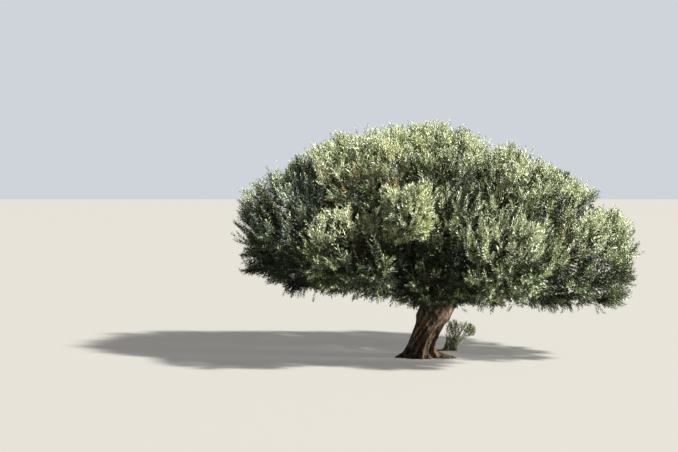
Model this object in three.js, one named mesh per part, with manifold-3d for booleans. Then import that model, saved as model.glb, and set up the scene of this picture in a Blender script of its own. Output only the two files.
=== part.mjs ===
// An old olive tree: a leaning trunk on spread root buttresses, the boughs that rise from its
// fork, and a broad domed crown of separate masses of foliage. Suckers grow at its foot.
// Millimetres, +Z up. The origin is the middle of the trunk's flat cut at ground level.
// -Y is the tree's front, the trunk leans towards +X.
import * as THREE from "three";
import { mergeVertices } from "three/addons/utils/BufferGeometryUtils.js";
import Module from "manifold-3d";

const wasm = await Module();
wasm.setup();

// Driving dimensions
const TREE_HEIGHT = 5250;
const CROWN_WIDTH = 9100;
const CROWN_DEPTH = 7600;
const TRUNK_HEIGHT = 1420; // to the top of the swollen fork
const TRUNK_WIDTH = 590; // across the waist, without the ridges
const TRUNK_LEAN = 400; // how far the fork stands to the side of the foot

// The trunk's outline
const FLARE = 170; // how much further the foot spreads than the waist
const FLARE_HEIGHT = 140; // the height in which the flare dies away
const FORK_SWELL = 80; // how much wider the fork is than the waist
const WAIST_HEIGHT = 0.46 * TRUNK_HEIGHT;
const SHOULDER_HEIGHT = 0.76 * TRUNK_HEIGHT; // where the fork starts to close over
const FORK_CLOSING = 0.96; // how far it has closed at its top
const LEAN_FROM = 0.07 * TRUNK_HEIGHT;
const LEAN_TO = 0.95 * TRUNK_HEIGHT;
const TWIST = 0.9; // radians that the ridges turn from the foot to the fork
// Ridges round the trunk: how many, how proud of the mean outline, and where the first stands
const RIDGES = [
  { count: 3, depth: 0.07, phase: 0.6 },
  { count: 5, depth: 0.065, phase: 2.1 },
  { count: 8, depth: 0.03, phase: 4.0 },
];
const BUTTRESS_DEPTH = 2.1; // how many times deeper the ridges are at the foot
// Roots that run out from the foot: where each points, how far past the flare, and its width there
const ROOTS = [
  { angle: -0.22, reach: 330, spread: 0.3 },
  { angle: 1.15, reach: 170, spread: 0.33 },
  { angle: 2.3, reach: 110, spread: 0.36 },
  { angle: 3.3, reach: 60, spread: 0.4 },
  { angle: -1.13, reach: 70, spread: 0.3 },
];
const ROOT_HEIGHT = 80; // how high the roots lie on the ground
const TRUNK_SIDES = 28;
const TRUNK_RINGS = 12;
const RING_CROWDING = 1.25; // above 1, rings lie closer together towards the foot
const TRUNK_BULGE = 1.3; // of the mean radius, the most that foliage allows the ridges

// Boughs
const BOUGH_SIDES = 7;
const BOUGH_STEPS = 6;
const BOUGH_SAMPLES = 24; // points along a bough that foliage keeps clear of
const BOUGH_TIP = 46; // radius where a bough enters its mass
const LEAN_OUT = 0.45; // how far a bough leans from its carrier's way to its own as it starts
const BOUGH_BEND = 0.36; // of its length, how far each end keeps its direction
const FORK_LEVEL = 0.74 * TRUNK_HEIGHT; // where the axes of the main boughs meet the trunk's
const TAPER_CURVE = 0.8; // under 1, a limb slims soonest where it starts
const JOINT_GAP = 0.4; // air between a limb and the one that carries it
const STEM_GAP = 0.3; // air between a bough's tip and the stem of its mass

// Foliage: each twig holds sprays, and a spray is one blade
const GOLDEN_ANGLE = Math.PI * (3 - Math.sqrt(5));
const ENTRY_SHARE = 0.8; // how far out in its space a mass is entered by its bough
const REACH_STEP = 0.05; // how finely the way out of a mass is searched
const SPACE_POWER = 2.6; // 2 makes the spaces ellipsoids, and more fills out their corners
const SPACE_MARGIN = 0.035; // of a mass's half size, kept clear on each side of a border
const VALLEY_HARDNESS = 6; // the higher, the less the valleys between masses are filled
const CORE_SHARE = 0.71; // of the way from a mass's heart to the edge of its space
const CORE_LUMPS = 0.1; // how far its lumps differ from that
const LUMP_WAVES = 4; // lumps round a core
const LEAST_CORE = 0.25; // a core reaches at least as if its space reached this far out
const TWIG_SHARE = 0.74; // where twigs end on the same way
const LEAST_REACH = 0.5; // a way out that is shorter than this holds no twig
const TWIG_RADIUS = 17;
const TWIG_TIP_RADIUS = 9;
const TWIG_SIDES = 3;
const TWIG_FROM = 0.35; // twigs leave the stem from here on
const TWIG_STRETCH = 0.6; // of the stem, over which they leave it
const TWIG_ARCH = 0.07; // of the mass's half height, how far a twig arches up
const STEM_TIP_RADIUS = 26;
const STEM_SIDES = 6;
const STEM_STEPS = 4;
const STEM_RISE = 0.18; // of the mass's half height, how far above its heart the stem ends
const SPRAY_LENGTH = 740;
const SPRAY_WIDTH = 290;
const SPRAY_THICKNESS = 28;
const SPRAY_WIDEST = 0.45; // of its length
const SPRAY_PLACES = [0.98, 0.84]; // along a twig
const SPRAY_LIFT = 0.7; // how strongly sprays turn up
const SKIRT_LIFT = 0.1; // the same on the underside
const SKIRT_BELOW = -0.35; // directions that point lower than this are the underside
const SPRAY_SCATTER = 1.1; // how widely sprays differ in direction
const SPRAY_SINK = 7; // how deep a spray's root lies in its twig
const LIMB_CLEARANCE = 30; // between foliage and the limbs that pass it
const CORE_CLEARANCE = 45;
const GROUND_CLEARANCE = 40;
const SHORTENING = 0.06; // of its full length, by which a spray shortens until it fits
const SHORTEST = 0.4; // of its full length: a spray that doesn't fit at that is left out

// The masses of foliage. Each gives its heart and its half size, both as shares of half the
// crown's width, half its depth and the tree's height, with the number of twigs it has.
const MASSES = [
  { name: "west", heart: [-0.56, 0.03, 0.55], half: [0.36, 0.5, 0.29], twigs: 13 },
  { name: "west_front", heart: [-0.34, -0.52, 0.46], half: [0.27, 0.4, 0.2], twigs: 11 },
  { name: "front", heart: [-0.095, -0.71, 0.62], half: [0.115, 0.2, 0.125], twigs: 9 },
  { name: "top_west", heart: [-0.24, -0.1, 0.745], half: [0.33, 0.46, 0.235], twigs: 12 },
  { name: "top", heart: [0.1, -0.15, 0.765], half: [0.26, 0.46, 0.235], twigs: 12 },
  { name: "top_east", heart: [0.4, -0.26, 0.66], half: [0.28, 0.42, 0.24], twigs: 12 },
  { name: "east_front", heart: [0.35, -0.56, 0.44], half: [0.25, 0.38, 0.2], twigs: 11 },
  { name: "east", heart: [0.72, -0.05, 0.425], half: [0.35, 0.5, 0.25], twigs: 13 },
  { name: "east_shoulder", heart: [0.575, 0.22, 0.605], half: [0.31, 0.44, 0.21], twigs: 12 },
  { name: "fork_front", heart: [0.06, -0.4, 0.345], half: [0.24, 0.3, 0.12], twigs: 9 },
  { name: "centre_front", heart: [0.11, -0.46, 0.53], half: [0.18, 0.28, 0.22], twigs: 9 },
  { name: "back_west", heart: [-0.46, 0.52, 0.52], half: [0.4, 0.46, 0.31], twigs: 13 },
  { name: "back", heart: [-0.02, 0.64, 0.46], half: [0.33, 0.38, 0.3], twigs: 11 },
  { name: "back_east", heart: [0.47, 0.53, 0.49], half: [0.4, 0.46, 0.3], twigs: 13 },
  { name: "top_back", heart: [-0.03, 0.34, 0.73], half: [0.42, 0.46, 0.26], twigs: 13 },
];

// The suckers at the foot, measured like the masses. They are open, so they have no core, and
// their twigs rise from a stem that lies low.
const SUCKERS = {
  name: "suckers",
  heart: [0.19, 0.0, 0.07],
  half: [0.1, 0.1, 0.09],
  twigs: 34,
  lowest: 0.3, // the twigs all rise at least this steeply
  stemRise: -0.5,
  scale: 0.52, // of the sprays' and twigs' size in the crown
  core: false,
};
const SUCKER_LEVEL = 130; // how far up the trunk they start
const SUCKER_DEPTH = 0.75; // of the trunk's radius, where their stem starts inside it
const SUCKER_RISE = 0.1; // how steeply the stem leaves
const SUCKER_STEM = 28; // the stem's radius there

// The boughs, each named after the mass it carries: what it grows from, how far along that,
// and its radius there.
const BOUGHS = [
  { mass: "west", from: "trunk", along: 1, radius: 195 },
  { mass: "east", from: "trunk", along: 1, radius: 195 },
  { mass: "back", from: "trunk", along: 1, radius: 175 },
  { mass: "top", from: "trunk", along: 1, radius: 165 },
  { mass: "west_front", from: "trunk", along: 1, radius: 150 },
  { mass: "east_front", from: "trunk", along: 1, radius: 140 },
  { mass: "fork_front", from: "trunk", along: 1, radius: 66 },
  { mass: "top_west", from: "west", along: 0.36, radius: 115 },
  { mass: "back_west", from: "back", along: 0.36, radius: 115 },
  { mass: "back_east", from: "back", along: 0.46, radius: 105 },
  { mass: "top_east", from: "east", along: 0.34, radius: 120 },
  { mass: "east_shoulder", from: "east", along: 0.52, radius: 100 },
  { mass: "top_back", from: "top", along: 0.4, radius: 100 },
  { mass: "front", from: "west_front", along: 0.5, radius: 80 },
  { mass: "centre_front", from: "east_front", along: 0.4, radius: 72 },
];

const BARK = new THREE.MeshStandardMaterial({ color: 0x5d5042, roughness: 0.9, metalness: 0 });
const LIMB_BARK = new THREE.MeshStandardMaterial({ color: 0x6f6353, roughness: 0.88, metalness: 0 });
const LEAVES = new THREE.MeshStandardMaterial({ color: 0x8a9470, roughness: 0.6, metalness: 0 });
const UP = new THREE.Vector3(0, 0, 1);

/** A number from 0 to 1 that climbs smoothly while value goes from low to high. */
function smoothShare(value, low, high) {
  const share = THREE.MathUtils.clamp((value - low) / (high - low), 0, 1);
  return share * share * (3 - 2 * share);
}

/** A source of numbers from 0 to 1 that gives the same ones each time for the same seed. */
function seededShares(seed) {
  let state = seed;
  return () => {
    state = (state + 0x6d2b79f5) | 0;
    let mixed = Math.imul(state ^ (state >>> 15), 1 | state);
    mixed = (mixed + Math.imul(mixed ^ (mixed >>> 7), 61 | mixed)) ^ mixed;
    return ((mixed ^ (mixed >>> 14)) >>> 0) / 4294967296;
  };
}

/** A closed three.js geometry as a solid that can be joined and cut. */
function solidOf(geometry) {
  const bare = geometry.clone();
  bare.deleteAttribute("normal");
  bare.deleteAttribute("uv");
  const merged = mergeVertices(bare, 1e-3);
  return new wasm.Manifold(
    new wasm.Mesh({
      numProp: 3,
      vertProperties: new Float32Array(merged.attributes.position.array),
      triVerts: new Uint32Array(merged.index.array),
    }),
  );
}

/** The largest piece of a solid, with loose scraps dropped and sealed hollows filled. */
function largestPiece(solid) {
  return solid.decompose().reduce((best, piece) => (piece.volume() > best.volume() ? piece : best));
}

/** A solid as a three.js geometry with flat faces. */
function geometryOf(solid) {
  const mesh = solid.getMesh();
  const geometry = new THREE.BufferGeometry();
  geometry.setAttribute("position", new THREE.BufferAttribute(mesh.vertProperties, mesh.numProp));
  geometry.setIndex(new THREE.BufferAttribute(mesh.triVerts, 1));
  const faceted = geometry.toNonIndexed();
  faceted.computeVertexNormals();
  return faceted;
}

/** Moves each vertex of a geometry to where place(vertex) puts it. */
function reshape(geometry, place) {
  const positions = geometry.attributes.position;
  const vertex = new THREE.Vector3();
  for (let i = 0; i < positions.count; i++) {
    vertex.fromBufferAttribute(positions, i);
    const moved = place(vertex);
    positions.setXYZ(i, moved.x, moved.y, moved.z);
  }
  return geometry;
}

/** The middle of the trunk at a height. */
function trunkAxis(height) {
  const x = TRUNK_LEAN * smoothShare(height, LEAN_FROM, LEAN_TO);
  return new THREE.Vector3(x, 0, height);
}

/** The trunk's radius at a height, before its ridges. */
function trunkRadius(height) {
  const flare = FLARE * Math.exp(-height / FLARE_HEIGHT);
  const swell = FORK_SWELL * smoothShare(height, WAIST_HEIGHT, SHOULDER_HEIGHT);
  const over = Math.max(0, (height - SHOULDER_HEIGHT) / (TRUNK_HEIGHT - SHOULDER_HEIGHT));
  const dome = Math.sqrt(1 - FORK_CLOSING * over * over);
  return (TRUNK_WIDTH / 2 + flare + swell) * dome;
}

/** How much of the mean radius the ridges give the trunk at a height and an angle. */
function ridgeFactor(height, angle) {
  const foot = 1 + (BUTTRESS_DEPTH - 1) * Math.exp(-height / FLARE_HEIGHT);
  const turned = angle - (TWIST * height) / TRUNK_HEIGHT;
  const sum = RIDGES.reduce(
    (total, ridge) => total + ridge.depth * Math.cos(ridge.count * turned + ridge.phase),
    0,
  );
  return 1 + foot * sum;
}

/** How much of their reach the roots have at a height. */
function rootShare(height) {
  return Math.exp(-((height / ROOT_HEIGHT) ** 2));
}

/** How far the roots run out past the flare at a height and an angle. */
function rootReach(height, angle) {
  const reach = ROOTS.reduce((total, root) => {
    const aside = (2 * Math.sin((angle - root.angle) / 2)) / root.spread;
    return total + root.reach * Math.exp(-aside * aside);
  }, 0);
  return reach * rootShare(height);
}

/** The trunk from its flat cut to the closed top of its fork, every side pushed out by grow. */
function trunkSolid(grow = 0) {
  const column = new THREE.CylinderGeometry(1, 1, 1, TRUNK_SIDES, TRUNK_RINGS);
  reshape(column, (vertex) => {
    const height = TRUNK_HEIGHT * Math.pow(vertex.y + 0.5, RING_CROWDING);
    const angle = Math.atan2(vertex.x, vertex.z);
    const spread = Math.hypot(vertex.x, vertex.z);
    const bare = trunkRadius(height) * ridgeFactor(height, angle) + rootReach(height, angle);
    const radius = spread * (bare + grow);
    const lift = vertex.y > 0.499 ? grow : 0;
    return trunkAxis(height).add(
      new THREE.Vector3(radius * Math.cos(angle), radius * Math.sin(angle), lift),
    );
  });
  return solidOf(column);
}

/** A round limb along a curve, tapering from one radius to another. */
function limbSolid(curve, startRadius, endRadius, sides, steps) {
  const frames = curve.computeFrenetFrames(steps, false);
  const tube = new THREE.CylinderGeometry(1, 1, 1, sides, steps);
  reshape(tube, (vertex) => {
    const share = vertex.y + 0.5;
    const step = Math.round(share * steps);
    const radius = THREE.MathUtils.lerp(startRadius, endRadius, Math.pow(share, TAPER_CURVE));
    return curve
      .getPointAt(share)
      .addScaledVector(frames.normals[step], radius * vertex.z)
      .addScaledVector(frames.binormals[step], radius * vertex.x);
  });
  return solidOf(tube);
}

/** A mass with its heart and half size in millimetres. */
function sized(mass) {
  const scale = new THREE.Vector3(CROWN_WIDTH / 2, CROWN_DEPTH / 2, TREE_HEIGHT);
  return {
    scale: 1,
    core: true,
    lowest: -1,
    stemRise: STEM_RISE,
    ...mass,
    heart: new THREE.Vector3(...mass.heart).multiply(scale),
    half: new THREE.Vector3(...mass.half).multiply(scale),
  };
}

const masses = MASSES.map(sized);
const suckers = sized(SUCKERS);
const everyMass = [...masses, suckers];

/** How far out a point lies in a mass: 0 at its heart, 1 on the rounded body that bounds it. */
function shareOut(mass, point) {
  const { x, y, z } = point.clone().sub(mass.heart).divide(mass.half);
  const powers = [x, y, z].map((part) => Math.abs(part) ** SPACE_POWER);
  return powers.reduce((sum, part) => sum + part) ** (1 / SPACE_POWER);
}

/**
 * True if a point lies in a mass's own space: its body, less what is nearer another mass,
 * and with its share of the valleys between them.
 */
function inSpace(mass, point) {
  if (point.z < GROUND_CLEARANCE) return false;
  const own = shareOut(mass, point);
  let neighbours = 0;
  for (const other of everyMass) {
    if (other === mass) continue;
    const away = shareOut(other, point);
    if (away <= own + 2 * SPACE_MARGIN) return false;
    neighbours += Math.exp(VALLEY_HARDNESS * (own - away));
  }
  return own - Math.log1p(neighbours) / VALLEY_HARDNESS <= 1;
}

/** The point that lies shares of a mass's half size from its heart, in a direction. */
function pointOut(mass, direction, share) {
  return direction.clone().multiply(mass.half).multiplyScalar(share).add(mass.heart);
}

/** The share at which a way out from a mass's heart leaves the mass's space. */
function reachAlong(mass, direction) {
  let share = 0;
  while (inSpace(mass, pointOut(mass, direction, share + REACH_STEP))) {
    share += REACH_STEP;
  }
  return share;
}

/** Directions spread evenly over a sphere, by the golden angle. */
function evenDirections(count, turn) {
  return Array.from({ length: count }, (_, k) => {
    const z = 1 - (2 * (k + 0.5)) / count;
    const angle = k * GOLDEN_ANGLE + turn;
    const flat = Math.sqrt(1 - z * z);
    return new THREE.Vector3(flat * Math.cos(angle), flat * Math.sin(angle), z);
  });
}

/** Where a bough enters a mass: on the side that faces the bough's start, in the mass's space. */
function entryPoint(mass, start) {
  const towards = start.clone().sub(mass.heart).divide(mass.half).normalize();
  const share = Math.min(ENTRY_SHARE, reachAlong(mass, towards));
  return pointOut(mass, towards, share);
}

/** The curve of a bough, which leaves its carrier one way and enters its mass another. */
function boughCurve(start, leaving, mass) {
  const end = entryPoint(mass, start);
  const length = end.distanceTo(start);
  const outwards = end.clone().sub(start).normalize();
  const inwards = mass.heart.clone().sub(end).normalize();
  const first = leaving.clone().lerp(outwards, LEAN_OUT).normalize();
  return new THREE.CubicBezierCurve3(
    start,
    start.clone().addScaledVector(first, length * BOUGH_BEND),
    end.clone().addScaledVector(inwards, -length * BOUGH_BEND),
    end,
  );
}

/** All the boughs as curves with their radii, in the order in which they grow. */
function layOutBoughs() {
  const laid = new Map();
  for (const bough of BOUGHS) {
    const mass = masses.find((each) => each.name === bough.mass);
    const carrier = laid.get(bough.from);
    const start = carrier ? carrier.curve.getPointAt(bough.along) : trunkAxis(FORK_LEVEL);
    const leaving = carrier ? carrier.curve.getTangentAt(bough.along) : UP;
    const curve = boughCurve(start, leaving, mass);
    laid.set(bough.mass, { ...bough, curve, points: curve.getSpacedPoints(BOUGH_SAMPLES), mass });
  }
  return laid;
}

const boughs = layOutBoughs();

/** A bough as a solid, every side pushed out by grow. */
function boughSolid(bough, grow = 0) {
  return limbSolid(bough.curve, bough.radius + grow, BOUGH_TIP + grow, BOUGH_SIDES, BOUGH_STEPS);
}

/** True if a point keeps clear of the trunk and of every bough. */
function clearOfLimbs(point) {
  const height = THREE.MathUtils.clamp(point.z, 0, TRUNK_HEIGHT);
  const reach =
    trunkRadius(height) * TRUNK_BULGE + ROOTS[0].reach * rootShare(height) + LIMB_CLEARANCE;
  if (point.z < TRUNK_HEIGHT + reach && point.distanceTo(trunkAxis(height)) < reach) return false;
  for (const bough of boughs.values()) {
    for (const [i, place] of bough.points.entries()) {
      const radius = THREE.MathUtils.lerp(bough.radius, BOUGH_TIP, i / BOUGH_SAMPLES);
      if (point.distanceTo(place) < radius + LIMB_CLEARANCE) return false;
    }
  }
  return true;
}

/** The corners of a spray: its root, its tip, and the four points round its widest place. */
function sprayCorners(root, direction, length, scale, roll) {
  const side = new THREE.Vector3().crossVectors(direction, UP).normalize();
  side.applyAxisAngle(direction, roll);
  const face = new THREE.Vector3().crossVectors(side, direction);
  const middle = root.clone().addScaledVector(direction, length * SPRAY_WIDEST);
  const width = (SPRAY_WIDTH * scale) / 2;
  const thickness = (SPRAY_THICKNESS * scale) / 2;
  return {
    root,
    tip: root.clone().addScaledVector(direction, length),
    left: middle.clone().addScaledVector(side, -width),
    right: middle.clone().addScaledVector(side, width),
    upper: middle.clone().addScaledVector(face, thickness),
    lower: middle.clone().addScaledVector(face, -thickness),
  };
}

/** A spray as a flat blade of eight faces, pointed at both ends. */
function spraySolid(corners) {
  const blade = new THREE.OctahedronGeometry(1, 0);
  reshape(blade, ({ x, y, z }) => {
    if (y > 0.5) return corners.tip;
    if (y < -0.5) return corners.root;
    if (x > 0.5) return corners.right;
    if (x < -0.5) return corners.left;
    return z > 0 ? corners.upper : corners.lower;
  });
  return solidOf(blade);
}

/** The way a spray points: outwards and up on top of a mass, outwards on its skirt. */
function sprayDirection(outwards, share) {
  const lift = outwards.z > SKIRT_BELOW ? SPRAY_LIFT : SKIRT_LIFT;
  const scatter = new THREE.Vector3(share() - 0.5, share() - 0.5, share() - 0.5);
  return outwards
    .clone()
    .addScaledVector(UP, lift)
    .addScaledVector(scatter, SPRAY_SCATTER)
    .normalize();
}

/** A spray at a place on a twig, as long as it can be there, or nothing if it doesn't fit. */
function fittedSpray(mass, place, direction, roll) {
  const root = place.clone().addScaledVector(direction, -SPRAY_SINK * mass.scale);
  for (let part = 1; part > SHORTEST; part -= SHORTENING) {
    const length = SPRAY_LENGTH * mass.scale * part;
    const corners = sprayCorners(root, direction, length, mass.scale, roll);
    const { tip, left, right } = corners;
    const tests = [tip, left, right, place.clone().lerp(tip, 0.75), place];
    if (tests.every((point) => inSpace(mass, point) && clearOfLimbs(point))) {
      return spraySolid(corners);
    }
  }
  return null;
}

/** The stem of a mass, from its bough's tip or the trunk to near the mass's heart. */
function stemCurve(mass, foot, direction) {
  const past = mass.heart.clone().addScaledVector(UP, mass.half.z * mass.stemRise);
  const bend = foot.clone().addScaledVector(direction, foot.distanceTo(mass.heart) * 0.5);
  return new THREE.QuadraticBezierCurve3(foot, bend, past);
}

/** A twig from the stem towards the edge of its mass, with a slight rise, and its sprays. */
function twigSolids(mass, stem, outwards, reach, share) {
  const tip = pointOut(mass, outwards, reach * TWIG_SHARE);
  const start = stem.getPointAt(TWIG_FROM + TWIG_STRETCH * share());
  const bend = start.clone().lerp(tip, 0.5).addScaledVector(UP, mass.half.z * TWIG_ARCH);
  const curve = new THREE.QuadraticBezierCurve3(start, bend, tip);
  const checks = [0.3, 0.5, 0.7, 0.85, 1].map((along) => curve.getPointAt(along));
  if (!checks.every((point) => inSpace(mass, point) && clearOfLimbs(point))) return [];
  const [thick, thin] = [TWIG_RADIUS * mass.scale, TWIG_TIP_RADIUS * mass.scale];
  const made = [limbSolid(curve, thick, thin, TWIG_SIDES, 1)];
  for (const along of SPRAY_PLACES) {
    const place = curve.getPointAt(along);
    const direction = sprayDirection(outwards, share);
    const spray = fittedSpray(mass, place, direction, share() * Math.PI);
    if (spray) made.push(spray);
  }
  return made;
}

/** The dense middle of a mass, lumpy, cut clear of the boughs that pass. */
function coreSolid(mass, share) {
  const ball = new THREE.IcosahedronGeometry(1, 1);
  const turn = share() * 2 * Math.PI;
  reshape(ball, (vertex) => {
    const outwards = vertex.clone().normalize();
    const { x, y, z } = outwards.clone().multiplyScalar(LUMP_WAVES);
    const lumps = Math.sin(x + turn) * Math.sin(y - turn) * Math.sin(z + 2 * turn);
    const reach = Math.max(LEAST_CORE, reachAlong(mass, outwards));
    return pointOut(mass, outwards, reach * (CORE_SHARE + CORE_LUMPS * lumps));
  });
  let core = solidOf(ball);
  for (const bough of boughs.values()) {
    const past = bough.curve.getTangentAt(1).multiplyScalar(STEM_GAP);
    core = core.subtract(boughSolid(bough, CORE_CLEARANCE).translate(past.toArray()));
  }
  return largestPiece(core);
}

/** A whole mass of foliage: stem, twigs and sprays fused, round a core where it is dense. */
function foliageSolid(mass, foot, direction, footRadius) {
  const share = seededShares(everyMass.indexOf(mass) + 1);
  const curve = stemCurve(mass, foot, direction);
  const stem = limbSolid(curve, footRadius, STEM_TIP_RADIUS * mass.scale, STEM_SIDES, STEM_STEPS);
  const parts = mass.core ? [stem, coreSolid(mass, share)] : [stem];
  for (const outwards of evenDirections(mass.twigs, share() * 2 * Math.PI)) {
    const reach = reachAlong(mass, outwards);
    if (reach > LEAST_REACH && outwards.z > mass.lowest) {
      parts.push(...twigSolids(mass, curve, outwards, reach, share));
    }
  }
  return largestPiece(parts.reduce((whole, part) => whole.add(part)));
}

const tree = new THREE.Group();

/** Adds a solid to the tree under a name. */
function addPiece(name, solid, material) {
  const mesh = new THREE.Mesh(geometryOf(solid), material);
  mesh.name = name;
  tree.add(mesh);
}

addPiece("trunk", trunkSolid(), BARK);

const carriers = [trunkSolid(JOINT_GAP)];
for (const bough of boughs.values()) {
  const free = carriers.reduce((limb, carrier) => limb.subtract(carrier), boughSolid(bough));
  addPiece(`bough_${bough.mass.name}`, largestPiece(free), LIMB_BARK);
  carriers.push(boughSolid(bough, JOINT_GAP));
}

for (const { curve, mass } of boughs.values()) {
  const direction = curve.getTangentAt(1);
  const foot = curve.getPointAt(1).addScaledVector(direction, STEM_GAP);
  addPiece(`foliage_${mass.name}`, foliageSolid(mass, foot, direction, BOUGH_TIP), LEAVES);
}

// The suckers' stem starts inside the trunk's flank, low down, and is cut clear of it.
const suckerFoot = trunkAxis(SUCKER_LEVEL);
suckerFoot.x += SUCKER_DEPTH * trunkRadius(SUCKER_LEVEL);
const suckerLeaving = new THREE.Vector3(1, 0, SUCKER_RISE).normalize();
const suckerBush = foliageSolid(suckers, suckerFoot, suckerLeaving, SUCKER_STEM);
addPiece("foliage_suckers", largestPiece(suckerBush.subtract(carriers[0])), LEAVES);

export default tree;
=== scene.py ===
"""Dresses an old olive tree: barked trunk and boughs, and a crown of leafy shoots.

The crown grows by the rule of the solids' source, carried on to finer twigs, shoots and leaves
in the same spaces. Metres, +Z up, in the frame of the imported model.
"""
import logging
import math
from dataclasses import dataclass, field
from enum import Enum

import bmesh
import bpy
import numpy as np
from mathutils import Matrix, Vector, noise


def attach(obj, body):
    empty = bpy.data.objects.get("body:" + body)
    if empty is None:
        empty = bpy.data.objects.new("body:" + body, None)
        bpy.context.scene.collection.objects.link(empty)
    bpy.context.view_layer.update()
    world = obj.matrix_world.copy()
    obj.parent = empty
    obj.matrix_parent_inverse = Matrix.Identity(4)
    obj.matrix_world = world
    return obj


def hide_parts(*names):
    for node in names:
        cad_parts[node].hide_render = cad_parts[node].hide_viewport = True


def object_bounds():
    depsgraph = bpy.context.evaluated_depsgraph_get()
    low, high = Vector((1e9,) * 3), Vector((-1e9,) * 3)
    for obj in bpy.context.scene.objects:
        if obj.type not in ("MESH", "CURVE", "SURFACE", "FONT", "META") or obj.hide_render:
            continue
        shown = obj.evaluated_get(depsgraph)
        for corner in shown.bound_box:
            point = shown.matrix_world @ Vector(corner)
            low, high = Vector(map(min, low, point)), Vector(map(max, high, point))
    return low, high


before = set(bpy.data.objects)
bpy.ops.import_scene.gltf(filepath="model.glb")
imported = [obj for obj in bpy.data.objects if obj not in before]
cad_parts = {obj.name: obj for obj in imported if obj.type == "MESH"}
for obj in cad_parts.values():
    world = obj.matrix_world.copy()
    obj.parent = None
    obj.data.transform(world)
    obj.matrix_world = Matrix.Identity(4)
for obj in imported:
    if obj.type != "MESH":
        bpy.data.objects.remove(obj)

log = logging.getLogger("olive_tree")
CAD_BOX = [list(corner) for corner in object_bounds()]
UP = np.array([0.0, 0.0, 1.0])
EAST = np.array([1.0, 0.0, 0.0])
GOLDEN_ANGLE = math.pi * (3 - math.sqrt(5))
TURN = 2 * math.pi
STEEP = 0.7
AREA_POWER = 1.6
BODY = "root"


def unit(rows: np.ndarray) -> np.ndarray:
    """Vectors of length one along the rows."""
    return rows / np.maximum(np.linalg.norm(rows, axis=-1, keepdims=True), 1e-9)


def smooth_share(value: np.ndarray | float, low: float, high: float) -> np.ndarray:
    """A number from 0 to 1 that climbs smoothly while value goes from low to high."""
    share = np.clip((value - low) / (high - low), 0, 1)
    return share * share * (3 - 2 * share)


def blend(first: float, last: float, share: np.ndarray | float) -> np.ndarray | float:
    """The value a share of the way from first to last."""
    return first + (last - first) * share


def linear(red: int, green: int, blue: int) -> tuple[float, float, float, float]:
    """A display colour from 0 to 255 as the linear colour that shaders take."""
    return tuple(((c / 255 + 0.055) / 1.055) ** 2.4 for c in (red, green, blue)) + (1.0,)


def across(directions: np.ndarray) -> tuple[np.ndarray, np.ndarray]:
    """Two directions at right angles to each row and to each other.

    Args:
        directions: Unit vectors, one a row.

    Returns:
        Two arrays of unit vectors.
    """
    steep = np.abs(directions[..., 2:3]) > STEEP
    side = unit(np.cross(directions, np.where(steep, EAST, UP)))
    return side, np.cross(directions, side)


def turned(first: np.ndarray, second: np.ndarray, angles: np.ndarray) -> np.ndarray:
    """Directions turned from first towards second, each row by its own angle."""
    angles = angles[..., None]
    return np.cos(angles) * first + np.sin(angles) * second


def clipped(value: float) -> float:
    """The value, kept between 0 and 1."""
    return min(max(value, 0.0), 1.0)


class SeededShares:
    """Numbers from 0 to 1 that come out the same each time for the same seed."""

    MASK = 0xFFFFFFFF

    def __init__(self, seed: int) -> None:
        """Starts at a seed."""
        self.state = seed

    def __call__(self) -> float:
        """The next number."""
        self.state = (self.state + 0x6D2B79F5) & self.MASK
        mixed = ((self.state ^ (self.state >> 15)) * (1 | self.state)) & self.MASK
        mixed ^= (mixed + (mixed ^ (mixed >> 7)) * (61 | mixed)) & self.MASK
        return (mixed ^ (mixed >> 14)) / (self.MASK + 1)


@dataclass
class Curve:
    """A Bezier curve that is measured along its length."""

    controls: np.ndarray
    pieces: int = 200

    def __post_init__(self) -> None:
        """Measures the curve."""
        self.controls = np.array(self.controls, float)
        self._times = np.linspace(0, 1, self.pieces + 1)
        steps = np.linalg.norm(np.diff(self._at(self._times), axis=0), axis=1)
        self._lengths = np.concatenate([[0.0], np.cumsum(steps)])
        self.length = float(self._lengths[-1])

    def _at(self, times: np.ndarray) -> np.ndarray:
        """Points at the curve's own parameter, by de Casteljau's rule."""
        times = np.atleast_1d(times)[:, None]
        level = [np.broadcast_to(c, (len(times), 3)) for c in self.controls]
        while len(level) > 1:
            level = [a + (b - a) * times for a, b in zip(level, level[1:])]
        return level[0]

    def points(self, along: np.ndarray | float) -> np.ndarray:
        """Points at shares of the curve's length, one a row."""
        return self._at(np.interp(np.atleast_1d(along) * self.length, self._lengths, self._times))

    def tangents(self, along: np.ndarray | float) -> np.ndarray:
        """Unit tangents at shares of the curve's length, one a row."""
        along = np.atleast_1d(along)
        near = 1e-3
        return unit(self.points(np.minimum(along + near, 1)) - self.points(np.maximum(along - near, 0)))


@dataclass(frozen=True)
class TreeSize:
    """The driving dimensions, the same as the solids' own."""

    height: float = 5.25
    crown_width: float = 9.1
    crown_depth: float = 7.6
    trunk_height: float = 1.42
    trunk_width: float = 0.59
    trunk_lean: float = 0.4

    @property
    def scale(self) -> np.ndarray:
        """What a mass's shares are shares of."""
        return np.array([self.crown_width / 2, self.crown_depth / 2, self.height])


TREE = TreeSize()


class Tint(Enum):
    """The colours of the foliage, dealt out by spray."""

    SILVER = "silver"
    SAGE = "sage"
    OLIVE = "olive_green"
    YELLOW_GREEN = "yellow_green"
    BLUE_GREY = "blue_grey"
    BROWNISH = "brownish"
    # The shade tint is painted shade: near-black leaves dealt to the inside of the crown, to the gaps
    # between masses and to the lower sides, where shadow falls.
    SHADE = "shade"


TINTS = list(Tint)


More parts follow.
